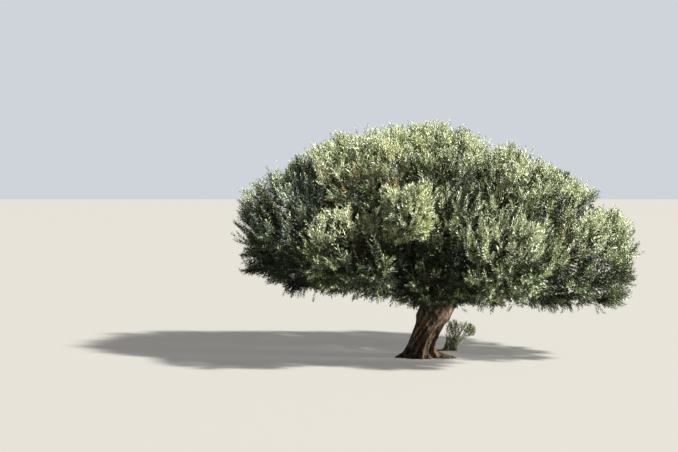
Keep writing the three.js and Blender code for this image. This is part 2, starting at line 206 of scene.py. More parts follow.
@dataclass(frozen=True)
class Palette:
    """How often each tint is dealt to the sprays of a mass, from its crest to its skirt.

    Crest and skirt are the ways out that point above one height and below another; lighter tints
    on the crest and darker ones on the skirt are partly fresh growth and partly painted light from
    above. Of what grows beside a neighbouring mass, the share lanes gets the shade tint: painted
    shade between masses. All inner sprays get one tint, a painted shade for the inside of the crown.
    """

    crest: dict[Tint, float]
    side: dict[Tint, float]
    skirt: dict[Tint, float]
    crest_above: float = 0.35
    skirt_below: float = -0.2
    lanes: float = 0.9
    inner: Tint = Tint.SHADE


@dataclass(frozen=True)
class MassPlan:
    """One mass of foliage: its heart and half size as shares, its twigs and its tints."""

    name: str
    heart: tuple[float, float, float]
    half: tuple[float, float, float]
    twigs: int
    palette: Palette
    density: float = 1.0
    scale: float = 1.0
    lowest: float = -1.0
    core: bool = True
    leaf_scale: float = 1.0
    shoot_scale: float = 1.0
    stem_rise: float = 0.18

    @property
    def middle(self) -> np.ndarray:
        """The heart in metres."""
        return np.array(self.heart) * TREE.scale

    @property
    def reach(self) -> np.ndarray:
        """The half size in metres."""
        return np.array(self.half) * TREE.scale

    @property
    def area(self) -> float:
        """The surface of the mass's ellipsoid in square metres, by a mean of its sections."""
        a, b, c = self.reach ** AREA_POWER
        return 4 * math.pi * float((a * b + a * c + b * c) / 3) ** (1 / AREA_POWER)


# The palettes paint light and shade into the leaves: the shade tint on sides, skirts and between masses is
# painted shade, the mostly silver crests are partly painted light from above, and SUNLIT paints a mass as
# lit all over.
SHADED = {Tint.SHADE: 0.6, Tint.OLIVE: 0.25, Tint.SAGE: 0.15}
GREY = Palette(
    crest={Tint.SILVER: 0.6, Tint.SAGE: 0.1, Tint.BLUE_GREY: 0.3},
    side={Tint.BLUE_GREY: 0.4, Tint.SAGE: 0.15, Tint.SHADE: 0.35, Tint.SILVER: 0.1},
    skirt={Tint.SHADE: 0.7, Tint.BLUE_GREY: 0.15, Tint.OLIVE: 0.15},
    crest_above=0.25,
)
GREEN = Palette(
    crest={Tint.SILVER: 0.7, Tint.SAGE: 0.2, Tint.YELLOW_GREEN: 0.1},
    side={Tint.SAGE: 0.35, Tint.OLIVE: 0.15, Tint.SILVER: 0.4, Tint.SHADE: 0.1},
    skirt=SHADED,
)
SILVERY = Palette(
    crest={Tint.SILVER: 0.8, Tint.SAGE: 0.1, Tint.YELLOW_GREEN: 0.1},
    side={Tint.SILVER: 0.5, Tint.SAGE: 0.25, Tint.OLIVE: 0.15, Tint.SHADE: 0.1},
    skirt={Tint.SILVER: 0.2, Tint.SAGE: 0.25, Tint.OLIVE: 0.25, Tint.SHADE: 0.3},
)
# A fresh yellow-green crest, with painted shade on most of the sides.
FRESH_SHADED = Palette(
    crest={Tint.YELLOW_GREEN: 0.3, Tint.SILVER: 0.5, Tint.SHADE: 0.2},
    side={Tint.SAGE: 0.15, Tint.OLIVE: 0.15, Tint.SILVER: 0.1, Tint.SHADE: 0.6},
    skirt=SHADED,
)
SUNLIT = Palette(
    crest={Tint.YELLOW_GREEN: 0.3, Tint.SILVER: 0.6, Tint.SAGE: 0.1},
    side={Tint.YELLOW_GREEN: 0.3, Tint.SILVER: 0.5, Tint.SAGE: 0.15, Tint.SHADE: 0.05},
    skirt={Tint.YELLOW_GREEN: 0.25, Tint.SILVER: 0.15, Tint.SAGE: 0.4, Tint.OLIVE: 0.2},
    lanes=0.25,
)
# Brownish leaves among silver ones. The mostly silver sides, and olive in place of the shade tint inside,
# are painted light that makes these upper masses read lighter.
BROWNED = Palette(
    crest={Tint.SILVER: 0.8, Tint.SAGE: 0.1, Tint.YELLOW_GREEN: 0.1},
    side={Tint.SILVER: 0.8, Tint.BROWNISH: 0.2},
    skirt={Tint.BROWNISH: 0.3, Tint.SHADE: 0.3, Tint.SAGE: 0.4},
    lanes=0.3,
    inner=Tint.OLIVE,
)
# The low mass under the crown gets painted shade on its sides and skirt.
LOW = Palette(crest={Tint.SAGE: 0.4, Tint.OLIVE: 0.4, Tint.SILVER: 0.2}, side=SHADED, skirt=SHADED)
SPROUTED = {Tint.OLIVE: 0.3, Tint.YELLOW_GREEN: 0.3, Tint.SAGE: 0.4}
YOUNG = Palette(crest=SPROUTED, side=SPROUTED, skirt=SPROUTED)

MASSES = (
    MassPlan("west", (-0.56, 0.03, 0.55), (0.36, 0.5, 0.29), 13, GREY, density=1.15),
    MassPlan("west_front", (-0.34, -0.52, 0.46), (0.27, 0.4, 0.2), 11, FRESH_SHADED),
    MassPlan("front", (-0.095, -0.71, 0.62), (0.115, 0.2, 0.125), 9, SUNLIT, density=1.4),
    MassPlan("top_west", (-0.24, -0.1, 0.745), (0.33, 0.46, 0.235), 12, BROWNED, density=1.08),
    MassPlan("top", (0.1, -0.15, 0.765), (0.26, 0.46, 0.235), 12, SILVERY),
    MassPlan("top_east", (0.4, -0.26, 0.66), (0.28, 0.42, 0.24), 12, SILVERY),
    MassPlan("east_front", (0.35, -0.56, 0.44), (0.25, 0.38, 0.2), 11, SILVERY),
    MassPlan("east", (0.72, -0.05, 0.425), (0.35, 0.5, 0.25), 13, GREEN, density=1.25),
    MassPlan("east_shoulder", (0.575, 0.22, 0.605), (0.31, 0.44, 0.21), 12, GREEN),
    MassPlan("fork_front", (0.06, -0.4, 0.345), (0.24, 0.3, 0.12), 9, LOW),
    MassPlan("centre_front", (0.11, -0.46, 0.53), (0.18, 0.28, 0.22), 9, GREEN),
    MassPlan("back_west", (-0.46, 0.52, 0.52), (0.4, 0.46, 0.31), 13, GREY),
    MassPlan("back", (-0.02, 0.64, 0.46), (0.33, 0.38, 0.3), 11, GREEN),
    MassPlan("back_east", (0.47, 0.53, 0.49), (0.4, 0.46, 0.3), 13, SILVERY),
    MassPlan("top_back", (-0.03, 0.34, 0.73), (0.42, 0.46, 0.26), 13, BROWNED),
)
SUCKERS = MassPlan(
    "suckers", (0.19, 0.0, 0.07), (0.1, 0.1, 0.09), 34, YOUNG,
    density=2.4, scale=0.52, lowest=0.3, core=False, leaf_scale=0.6, shoot_scale=0.8, stem_rise=-0.5,
)


@dataclass(frozen=True)
class BoughPlan:
    """One bough: the mass it carries, what it grows from, how far along, and its radius there."""

    mass: str
    source: str
    along: float
    radius: float


BOUGHS = (
    BoughPlan("west", "trunk", 1, 0.195),
    BoughPlan("east", "trunk", 1, 0.195),
    BoughPlan("back", "trunk", 1, 0.175),
    BoughPlan("top", "trunk", 1, 0.165),
    BoughPlan("west_front", "trunk", 1, 0.15),
    BoughPlan("east_front", "trunk", 1, 0.14),
    BoughPlan("fork_front", "trunk", 1, 0.066),
    BoughPlan("top_west", "west", 0.36, 0.115),
    BoughPlan("back_west", "back", 0.36, 0.115),
    BoughPlan("back_east", "back", 0.46, 0.105),
    BoughPlan("top_east", "east", 0.34, 0.12),
    BoughPlan("east_shoulder", "east", 0.52, 0.1),
    BoughPlan("top_back", "top", 0.4, 0.1),
    BoughPlan("front", "west_front", 0.5, 0.08),
    BoughPlan("centre_front", "east_front", 0.4, 0.072),
)


class NodeBench:
    """Adds nodes to a shader tree and joins them."""

    def __init__(self, tree: bpy.types.NodeTree) -> None:
        """Works on one tree."""
        self.tree = tree

    def feed(self, inputs: bpy.types.bpy_prop_collection, values: dict) -> None:
        """Gives inputs what they take.

        Args:
            inputs: The inputs of a node.
            values: For each input's name or number, a value or the output that feeds it.
        """
        for name, value in values.items():
            if isinstance(value, bpy.types.NodeSocket):
                self.tree.links.new(value, inputs[name])
            else:
                inputs[name].default_value = value

    def add(self, kind: str, inputs: dict | None = None, **settings) -> bpy.types.Node:
        """Adds a node.

        Args:
            kind: The node's type without its ShaderNode prefix.
            inputs: For each input's name or number, a value or the output that feeds it.
            settings: The node's own properties.

        Returns:
            The new node.
        """
        node = self.tree.nodes.new("ShaderNode" + kind)
        for name, value in settings.items():
            setattr(node, name, value)
        self.feed(node.inputs, inputs or {})
        return node

    def maths(self, operation: str, *values) -> bpy.types.NodeSocket:
        """The result of a Math node on values or outputs."""
        return self.add("Math", dict(enumerate(values)), operation=operation).outputs[0]

    def ramp(self, share, stops: list[tuple[float, tuple]]) -> bpy.types.NodeSocket:
        """A colour that goes through stops as share goes from 0 to 1.

        Args:
            share: The output that feeds the ramp.
            stops: A place from 0 to 1 and a linear colour for each stop.

        Returns:
            The ramp's colour.
        """
        node = self.add("ValToRGB", {"Fac": share})
        elements = node.color_ramp.elements
        while len(elements) < len(stops):
            elements.new(0.5)
        for element, (place, colour) in zip(elements, stops):
            element.position = place
            element.color = colour
        return node.outputs["Color"]

    def mix(self, share, first, second) -> bpy.types.NodeSocket:
        """Two colours mixed by a share, each a value or an output."""
        return self.add("Mix", {0: share, 6: first, 7: second}, data_type="RGBA").outputs[2]

    def noise_at(self, place: bpy.types.NodeSocket, scale, detail: float, roughness: float = 0.5,
                 result: str = "Fac") -> bpy.types.NodeSocket:
        """What a noise texture gives at a place: one value, or three when the result is Color."""
        given = {"Vector": place, "Scale": scale, "Detail": detail, "Roughness": roughness}
        return self.add("TexNoise", given).outputs[result]

    def climb(self, value: bpy.types.NodeSocket, low: float, high) -> bpy.types.NodeSocket:
        """A share that goes smoothly from 0 to 1 while value goes from low to high."""
        given = {"Value": value, "From Min": low, "From Max": high}
        return self.add("MapRange", given, interpolation_type="SMOOTHSTEP").outputs[0]


def new_group(name: str, inputs: dict[str, float | None], outputs: tuple[str, ...]) -> NodeBench:
    """An empty shader node group.

    Args:
        name: The group's name.
        inputs: Each input's name with its usual number, or None for a vector.
        outputs: The names of its outputs, each of them a number.

    Returns:
        A bench on the group, which has group_in and group_out.
    """
    tree = bpy.data.node_groups.new(name, "ShaderNodeTree")
    for label, usual in inputs.items():
        kind = "NodeSocketVector" if usual is None else "NodeSocketFloat"
        socket = tree.interface.new_socket(label, in_out="INPUT", socket_type=kind)
        if usual is not None:
            socket.default_value = usual
    for label in outputs:
        tree.interface.new_socket(label, in_out="OUTPUT", socket_type="NodeSocketFloat")
    bench = NodeBench(tree)
    bench.group_in = tree.nodes.new("NodeGroupInput").outputs
    bench.group_out = tree.nodes.new("NodeGroupOutput").inputs
    return bench


def new_material(name: str) -> tuple[bpy.types.Material, NodeBench, bpy.types.bpy_prop_collection]:
    """A new material, a bench on its nodes and the inputs of its Principled BSDF."""
    made = bpy.data.materials.new(name)
    made.use_nodes = True
    return made, NodeBench(made.node_tree), made.node_tree.nodes["Principled BSDF"].inputs


@dataclass(frozen=True)
class BarkGrain:
    """The grain of olive bark: long plates between cracks, with broad patches and hollows."""

    name: str = "bark_grain"
    wander_scale: float = 9.0
    wander_by: float = 0.07
    fine_times: float = 3.1
    fine_roughness: float = 0.62
    broad_scale: float = 4.3
    broad_roughness: float = 0.55
    lump_scale: float = 15.0
    patch_range: tuple[float, float] = (0.42, 0.62)
    hollow_range: tuple[float, float] = (0.54, 0.4)
    plate_rise: float = 0.6
    fine_rise: float = 0.5

    def group(self) -> bpy.types.NodeTree:
        """The node group, which is built when it is first asked for."""
        if self.name in bpy.data.node_groups:
            return bpy.data.node_groups[self.name]
        bench = new_group(
            self.name,
            {"Vector": None, "Scale": 22.0, "Stretch": 0.3, "Crack Width": 0.09},
            ("Cracks", "Plates", "Patches", "Hollows", "Height"),
        )
        given = bench.group_in
        squeeze = bench.add("CombineXYZ", {0: 1.0, 1: 1.0, 2: given["Stretch"]}).outputs[0]
        drawn = bench.add("VectorMath", {0: given["Vector"], 1: squeeze}, operation="MULTIPLY").outputs[0]
        wander = bench.noise_at(drawn, self.wander_scale, 3.0, result="Color")
        shift = bench.add("VectorMath", {0: wander, "Scale": self.wander_by}, operation="SCALE").outputs[0]
        warped = bench.add("VectorMath", {0: drawn, 1: shift}, operation="ADD").outputs[0]
        edge = bench.add("TexVoronoi", {"Vector": warped, "Scale": given["Scale"]},
                         feature="DISTANCE_TO_EDGE").outputs["Distance"]
        plate = bench.climb(edge, 0.0, given["Crack Width"])
        fine_scale = bench.maths("MULTIPLY", given["Scale"], self.fine_times)
        fine = bench.noise_at(warped, fine_scale, 6.0, self.fine_roughness)
        broad = bench.noise_at(given["Vector"], self.broad_scale, 4.0, self.broad_roughness)
        lumpy = bench.noise_at(drawn, self.lump_scale, 3.0)
        raised = bench.maths("MULTIPLY", plate, self.plate_rise)
        bench.feed(bench.group_out, {
            "Cracks": bench.maths("SUBTRACT", 1.0, plate),
            "Plates": fine,
            "Patches": bench.climb(broad, *self.patch_range),
            "Hollows": bench.climb(lumpy, *self.hollow_range),
            "Height": bench.maths("MULTIPLY_ADD", fine, self.fine_rise, raised),
        })
        return bench.tree


def leaf_grain() -> bpy.types.NodeTree:
    """The faint unevenness of leaves and young twigs, built when it is first asked for."""
    name = "leaf_grain"
    if name in bpy.data.node_groups:
        return bpy.data.node_groups[name]
    bench = new_group(name, {"Vector": None, "Scale": 160.0}, ("Height",))
    height = bench.noise_at(bench.group_in["Vector"], bench.group_in["Scale"], 2.0)
    bench.feed(bench.group_out, {"Height": height})
    return bench.tree


@dataclass(frozen=True)
class BarkFinish:
    """Bark on trunk or boughs: its colours from the clefts out, and its grain."""

    name: str
    cleft: tuple
    ground: tuple
    ridge: tuple
    warm: tuple
    warm_share: float
    scale: float
    stretch: float
    bump: float
    hollow_share: float = 0.5
    crack_share: float = 0.75
    plate_share: float = 0.7
    tone_less: float = 0.35
    stops: tuple[float, float, float] = (0.12, 0.42, 0.85)
    bump_depth: float = 0.012
    roughness: float = 0.92

    def material(self) -> bpy.types.Material:
        """Builds the material. A relief attribute of the piece says where its clefts lie."""
        made, bench, shader = new_material(self.name)
        place = bench.add("TexCoord").outputs["Object"]
        grain = bench.add("Group", {"Vector": place, "Scale": self.scale, "Stretch": self.stretch},
                          node_tree=BarkGrain().group()).outputs
        relief = bench.add("Attribute", attribute_name="relief").outputs["Fac"]
        spread = bench.maths("MULTIPLY_ADD", grain["Plates"], self.plate_share, relief)
        tone = bench.maths("SUBTRACT", spread, self.tone_less)
        colour = bench.ramp(tone, list(zip(self.stops, (self.cleft, self.ground, self.ridge))))
        for mask, share, towards in (("Patches", self.warm_share, self.warm),
                                     ("Cracks", self.crack_share, self.cleft),
                                     ("Hollows", self.hollow_share, self.cleft)):
            colour = bench.mix(bench.maths("MULTIPLY", grain[mask], share), colour, towards)
        bump = bench.add("Bump", {"Height": grain["Height"], "Strength": self.bump,
                                  "Distance": self.bump_depth}).outputs[0]
        bench.feed(shader, {"Base Color": colour, "Normal": bump, "Roughness": self.roughness})
        return made


@dataclass(frozen=True)
class LeafFinish:
    """One shade of leaf or young twig, a plain colour with a faint unevenness."""

    name: str
    colour: tuple
    roughness: float = 0.5
    sheen: float = 0.0
    bump: float = 0.15
    bump_depth: float = 0.002

    def material(self) -> bpy.types.Material:
        """Builds the material, with its colour unlinked so that it keeps its place."""
        made, bench, shader = new_material(self.name)
        place = bench.add("TexCoord").outputs["Object"]
        grain = bench.add("Group", {"Vector": place}, node_tree=leaf_grain()).outputs
        bump = bench.add("Bump", {"Height": grain["Height"], "Strength": self.bump,
                                  "Distance": self.bump_depth}).outputs[0]
        bench.feed(shader, {"Base Color": self.colour, "Roughness": self.roughness,
                            "Sheen Weight": self.sheen, "Normal": bump})
        return made


TRUNK_BARK = BarkFinish(
    "trunk_bark", cleft=linear(30, 25, 21), ground=linear(104, 86, 69), ridge=linear(184, 160, 134),
    warm=linear(162, 122, 88), warm_share=0.35, scale=20, stretch=0.28, bump=0.9, hollow_share=0.8)
BOUGH_BARK = BarkFinish(
    "bough_bark", cleft=linear(36, 32, 27), ground=linear(84, 78, 68), ridge=linear(120, 113, 100),
    warm=linear(120, 104, 82), warm_share=0.3, scale=26, stretch=0.5, bump=0.6)
TWIG_BARK = LeafFinish("twig_bark", linear(86, 82, 62), roughness=0.85)

# Each tint has the upper face of its leaves and the paler underside.
LEAF_COLOURS = {
    Tint.SILVER: (linear(156, 168, 124), linear(224, 231, 208)),
    Tint.SAGE: (linear(106, 124, 76), linear(190, 202, 168)),
    Tint.OLIVE: (linear(74, 92, 44), linear(154, 168, 118)),
    Tint.YELLOW_GREEN: (linear(172, 176, 114), linear(220, 222, 184)),
    Tint.BLUE_GREY: (linear(78, 98, 88), linear(162, 182, 172)),
    Tint.BROWNISH: (linear(138, 126, 90), linear(196, 184, 150)),
    # Painted shade: the shade tint's leaves are nearly black on both faces.
    Tint.SHADE: (linear(22, 35, 15), linear(42, 56, 32)),
}


UPPER_FACE = {"roughness": 0.42}
UNDERSIDE = {"roughness": 0.62, "sheen": 0.1}


def leaf_finishes() -> list[bpy.types.Material]:
    """The leaves' materials: for each tint its upper face, then its underside."""
    made = []
    for tint in TINTS:
        upper, under = LEAF_COLOURS[tint]
        made.append(LeafFinish(f"leaf_{tint.value}", upper, **UPPER_FACE).material())
        made.append(LeafFinish(f"leaf_{tint.value}_under", under, **UNDERSIDE).material())
    return made


def put_in_scene(name: str, data: bpy.types.ID) -> bpy.types.Object:
    """A new object in the scene, of a mesh, lamp or camera."""
    made = bpy.data.objects.new(name, data)
    bpy.context.scene.collection.objects.link(made)
    return made


def add_piece(name: str, mesh: bpy.types.Mesh, nodes: list[str]) -> bpy.types.Object:
    """Puts a finished mesh into the scene as a piece that rides on the tree.

    Args:
        name: The piece's name.
        mesh: Its mesh, already in place.
        nodes: The CAD nodes that it stands for.

    Returns:
        The piece's object.
    """
    piece = put_in_scene(name, mesh)
    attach(piece, BODY)
    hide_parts(*nodes)
    mesh.calc_loop_triangles()
    log.info("%s: %d triangles", name, len(mesh.loop_triangles))
    return piece


def mesh_from_arrays(name: str, vertices: np.ndarray, corners: np.ndarray,
                     sizes: np.ndarray) -> bpy.types.Mesh:
    """A mesh of many small faces.

    Args:
        name: The mesh's name.
        vertices: One vertex a row.
        corners: The vertex number of each corner, face after face.
        sizes: How many corners each face has.

    Returns:
        The mesh.
    """
    mesh = bpy.data.meshes.new(name)
    mesh.vertices.add(len(vertices))
    mesh.vertices.foreach_set("co", vertices.astype(np.float32).ravel())
    mesh.loops.add(len(corners))
    mesh.loops.foreach_set("vertex_index", corners.astype(np.int32))
    mesh.polygons.add(len(sizes))
    starts = np.concatenate([[0], np.cumsum(sizes)[:-1]])
    mesh.polygons.foreach_set("loop_start", starts.astype(np.int32))
    mesh.update(calc_edges=True)
    return mesh


def mesh_of(shape: bmesh.types.BMesh, name: str) -> bpy.types.Mesh:
    """A mesh of a shape, which is freed."""
    mesh = bpy.data.meshes.new(name)
    shape.to_mesh(mesh)
    shape.free()
    return mesh


def round_column(sides: int, rings: int) -> bmesh.types.BMesh:
    """A closed column of radius 1 between heights 0 and 1.

    Args:
        sides: Faces round it.
        rings: Faces along it.

    Returns:
        The column, to be bent into a limb.
    """
    column = bmesh.new()
    bmesh.ops.create_cone(column, cap_ends=True, segments=sides, radius1=1, radius2=1, depth=1)
    bmesh.ops.translate(column, verts=column.verts, vec=(0, 0, 0.5))
    upright = [edge for edge in column.edges if abs(edge.verts[0].co.z - edge.verts[1].co.z) > 0.5]
    bmesh.ops.subdivide_edges(column, edges=upright, cuts=rings - 1, use_grid_fill=True)
    return column


def add_shape(into: bmesh.types.BMesh, shape: bmesh.types.BMesh) -> None:
    """Adds one shape to another and frees it."""
    passing = mesh_of(shape, "passing")
    into.from_mesh(passing)
    bpy.data.meshes.remove(passing)


@dataclass
class Trunk:
    """The trunk from its flat cut to its fork, with its flutes, burls and root toes."""

    flare: float = 0.17
    flare_height: float = 0.14
    fork_swell: float = 0.08
    waist_height: float = 0.46 * TREE.trunk_height
    shoulder_height: float = 0.76 * TREE.trunk_height
    fork_closing: float = 0.96
    lean_from: float = 0.07 * TREE.trunk_height
    lean_to: float = 0.95 * TREE.trunk_height
    twist: float = 0.9
    ridges: tuple = ((3, 0.07, 0.6), (5, 0.065, 2.1), (8, 0.03, 4.0))
    buttress_depth: float = 2.1
    roots: tuple = ((-0.22, 0.33, 0.3), (1.15, 0.17, 0.33), (2.3, 0.11, 0.36), (3.3, 0.06, 0.4),
                    (-1.13, 0.07, 0.3))
    root_height: float = 0.08
    bulge: float = 1.3
    fork_level: float = 0.74 * TREE.trunk_height
    sides: int = 96
    rings: int = 70
    below: float = 0.05
    voxel: float = 0.0135
    dome_least: float = 0.04
    collar: float = 0.5
    collar_spread: float = 1.12
    collar_sides: int = 18
    collar_rings: int = 14
    smooth_above: float = 0.85
    smoothings: int = 6
    smoothing: float = 0.5
    relief_twist: float = 1.6
    relief_round: float = 1.5
    relief_along: float = 0.9
    strand_scale: float = 1.25
    strand_sharpness: float = 2.4
    strand_level: float = 0.4
    strand_depth: float = 0.05
    burl_scale: float = 3.1
    burl_shift: tuple[float, float, float] = (3.7, 1.2, 8.4)
    burl_above: float = 0.08
    burl_depth: float = 0.1
    plate_round: float = 7.0
    plate_along: float = 3.2
    plate_noise: tuple[float, float, int] = (0.8, 2.1, 3)
    plate_depth: float = 0.012
    skin_depth: float = 0.02
    least_steep: float = 0.05
    rank_shares: tuple[float, float] = (0.3, 0.2)
    rank_less: float = 0.15

    def axis(self, heights: np.ndarray) -> np.ndarray:
        """The middle of the trunk at heights, one point a row."""
        heights = np.atleast_1d(heights)
        lean = TREE.trunk_lean * smooth_share(heights, self.lean_from, self.lean_to)
        return np.stack([lean, np.zeros_like(lean), heights], axis=-1)

    def radius(self, heights: np.ndarray) -> np.ndarray:
        """The mean radius at heights."""
        flare = self.flare * np.exp(-heights / self.flare_height)
        swell = self.fork_swell * smooth_share(heights, self.waist_height, self.shoulder_height)
        over = np.maximum(0, (heights - self.shoulder_height) / (TREE.trunk_height - self.shoulder_height))
        dome = np.sqrt(np.maximum(1 - self.fork_closing * over * over, self.dome_least))
        return (TREE.trunk_width / 2 + flare + swell) * dome

    def ridge_factor(self, heights: np.ndarray, angles: np.ndarray) -> np.ndarray:
        """How much of the mean radius the ridges give at heights and angles."""
        foot = 1 + (self.buttress_depth - 1) * np.exp(-heights / self.flare_height)
        turned = angles - self.twist * heights / TREE.trunk_height
        return 1 + foot * sum(deep * np.cos(count * turned + phase) for count, deep, phase in self.ridges)

    def root_share(self, heights: np.ndarray) -> np.ndarray:
        """How much of their reach the roots have at heights."""
        return np.exp(-((heights / self.root_height) ** 2))

    def root_reach(self, height: float, angle: float) -> float:
        """How far the roots run out past the flare at a height and an angle."""
        bumps = (reach * math.exp(-((2 * math.sin((angle - way) / 2) / spread) ** 2))
                 for way, reach, spread in self.roots)
        return sum(bumps) * float(self.root_share(height))

    def _column(self) -> bmesh.types.BMesh:
        """The fluted column, a little longer than the trunk at its foot."""
        column = round_column(self.sides, self.rings)
        for vertex in column.verts:
            height = blend(-self.below, TREE.trunk_height, vertex.co.z)
            level = max(height, 0)
            angle = math.atan2(vertex.co.y, vertex.co.x)
            bare = float(self.radius(level) * self.ridge_factor(level, angle))
            spread = vertex.co.xy.length * (bare + self.root_reach(level, angle))
            middle = self.axis(height)[0]
            vertex.co = (middle[0] + spread * math.cos(angle), spread * math.sin(angle), height)
        return column

    def _relief(self, place: Vector, steepness: float) -> tuple[float, float]:
        """How far bark stands out at a place, and how that ranks from cleft to ridge."""
        height = max(place.z, 0.0)
        lean = TREE.trunk_lean * float(smooth_share(height, self.lean_from, self.lean_to))
        twist = self.twist * self.relief_twist * height / TREE.trunk_height
        angle = math.atan2(place.y, place.x - lean) - twist
        way = Vector((math.cos(angle) * self.relief_round, math.sin(angle) * self.relief_round,
                      height * self.relief_along))
        strand = 1 - self.strand_sharpness * abs(noise.noise(way * self.strand_scale))
        burl = max(0.0, noise.noise(place * self.burl_scale + Vector(self.burl_shift)) - self.burl_above)
        fine = Vector((way.x * self.plate_round, way.y * self.plate_round, height * self.plate_along))
        plate = 1 - 2 * abs(noise.fractal(fine, *self.plate_noise))
        out = self.strand_depth * (strand - self.strand_level)
        out += self.burl_depth * burl + self.plate_depth * plate - self.skin_depth
        by_strand, by_plate = self.rank_shares
        rank = 0.5 + by_strand * strand + by_plate * plate - self.rank_less
        return out * steepness, clipped(rank)

    def _joined(self, limbs: "Limbs") -> bpy.types.Mesh:
        """The column and the foot of each bough that leaves it, under one skin."""
        column = self._column()
        for bough in limbs.boughs.values():
            if bough.plan.source == "trunk":
                part = self.collar / bough.curve.length
                add_shape(column, bough.tube(0.0, part, self.collar_spread,
                                             self.collar_sides, self.collar_rings))
        joined = put_in_scene("trunk_rough", mesh_of(column, "trunk_rough"))
        skin = joined.modifiers.new("skin", "REMESH")
        skin.mode = "VOXEL"
        skin.voxel_size = self.voxel
        shown = joined.evaluated_get(bpy.context.evaluated_depsgraph_get())
        mesh = bpy.data.meshes.new_from_object(shown)
        bpy.data.objects.remove(joined)
        return mesh

    def _carve(self, shape: bmesh.types.BMesh) -> None:
        """Rounds the fork, gives the bark its relief and marks how it ranks."""
        fork = [vertex for vertex in shape.verts if vertex.co.z > self.shoulder_height * self.smooth_above]
        for _ in range(self.smoothings):
            bmesh.ops.smooth_vert(shape, verts=fork, factor=self.smoothing,
                                  use_axis_x=True, use_axis_y=True, use_axis_z=True)
        shape.normal_update()
        ranks = shape.verts.layers.float.new("relief")
        for vertex in shape.verts:
            outwards = vertex.normal.copy()
            steepness = math.sqrt(max(1 - outwards.z ** 2, self.least_steep))
            out, vertex[ranks] = self._relief(vertex.co, steepness)
            vertex.co += outwards * out

    def build(self, limbs: "Limbs", finish: bpy.types.Material) -> bpy.types.Object:
        """Builds the barked trunk.

        Args:
            limbs: The boughs, whose first stretches flow out of the fork.
            finish: The bark.

        Returns:
            The piece.
        """
        joined = self._joined(limbs)
        shape = bmesh.new()
        shape.from_mesh(joined)
        bpy.data.meshes.remove(joined)
        self._carve(shape)
        cut = bmesh.ops.bisect_plane(
            shape, geom=shape.verts[:] + shape.edges[:] + shape.faces[:],
            plane_co=(0, 0, 0), plane_no=(0, 0, 1), clear_inner=True)
        rim = [item for item in cut["geom_cut"] if isinstance(item, bmesh.types.BMEdge)]
        bmesh.ops.edgeloop_fill(shape, edges=rim)
        bmesh.ops.recalc_face_normals(shape, faces=shape.faces)
        mesh = mesh_of(shape, "trunk_skin")
        mesh.materials.append(finish)
        mesh.shade_smooth()
        return add_piece("trunk_with_bark", mesh, ["trunk"])


@dataclass
class Bough:
    """One tapering limb along its curve."""

    plan: BoughPlan
    curve: Curve
    tip_radius: float = 0.046
    taper: float = 0.8
    samples: int = 24
    tie_break: float = 1e-4

    def radius(self, along: np.ndarray | float) -> np.ndarray:
        """The radius at shares of the length."""
        return blend(self.plan.radius, self.tip_radius, np.power(along, self.taper))

    @property
    def waypoints(self) -> tuple[np.ndarray, np.ndarray]:
        """Points along the limb that foliage keeps clear of, with their radii."""
        along = np.linspace(0, 1, self.samples + 1)
        return self.curve.points(along), blend(self.plan.radius, self.tip_radius, along)

    def tube(self, first: float, last: float, spread: float, sides: int, rings: int) -> bmesh.types.BMesh:
        """A stretch of the limb as a closed tube.

        Args:
            first: The share of the length where it starts.
            last: The share where it ends.
            spread: How many times its radius it has at the start, which wears off by halfway.
            sides: Faces round it.
            rings: Faces along it.

        Returns:
            The tube.
        """
        shape = round_column(sides, rings)
        shares = np.array([vertex.co.z for vertex in shape.verts])
        angles = np.array([math.atan2(vertex.co.y, vertex.co.x) for vertex in shape.verts])
        along = blend(first, last, np.clip(shares, 0, 1))
        middles = self.curve.points(along)
        tangents = self.curve.tangents(along)
        first_way, last_way = self.curve.tangents(0)[0], self.curve.tangents(1)[0]
        plane = unit(np.cross(first_way, last_way) + self.tie_break * EAST)
        sideways = unit(np.cross(tangents, plane))
        radii = self.radius(along) * blend(spread, 1.0, np.minimum(shares * 2, 1))
        places = middles + turned(plane, sideways, angles) * radii[:, None]
        for vertex, place in zip(shape.verts, places):
            vertex.co = place
        bmesh.ops.recalc_face_normals(shape, faces=shape.faces)
        return shape


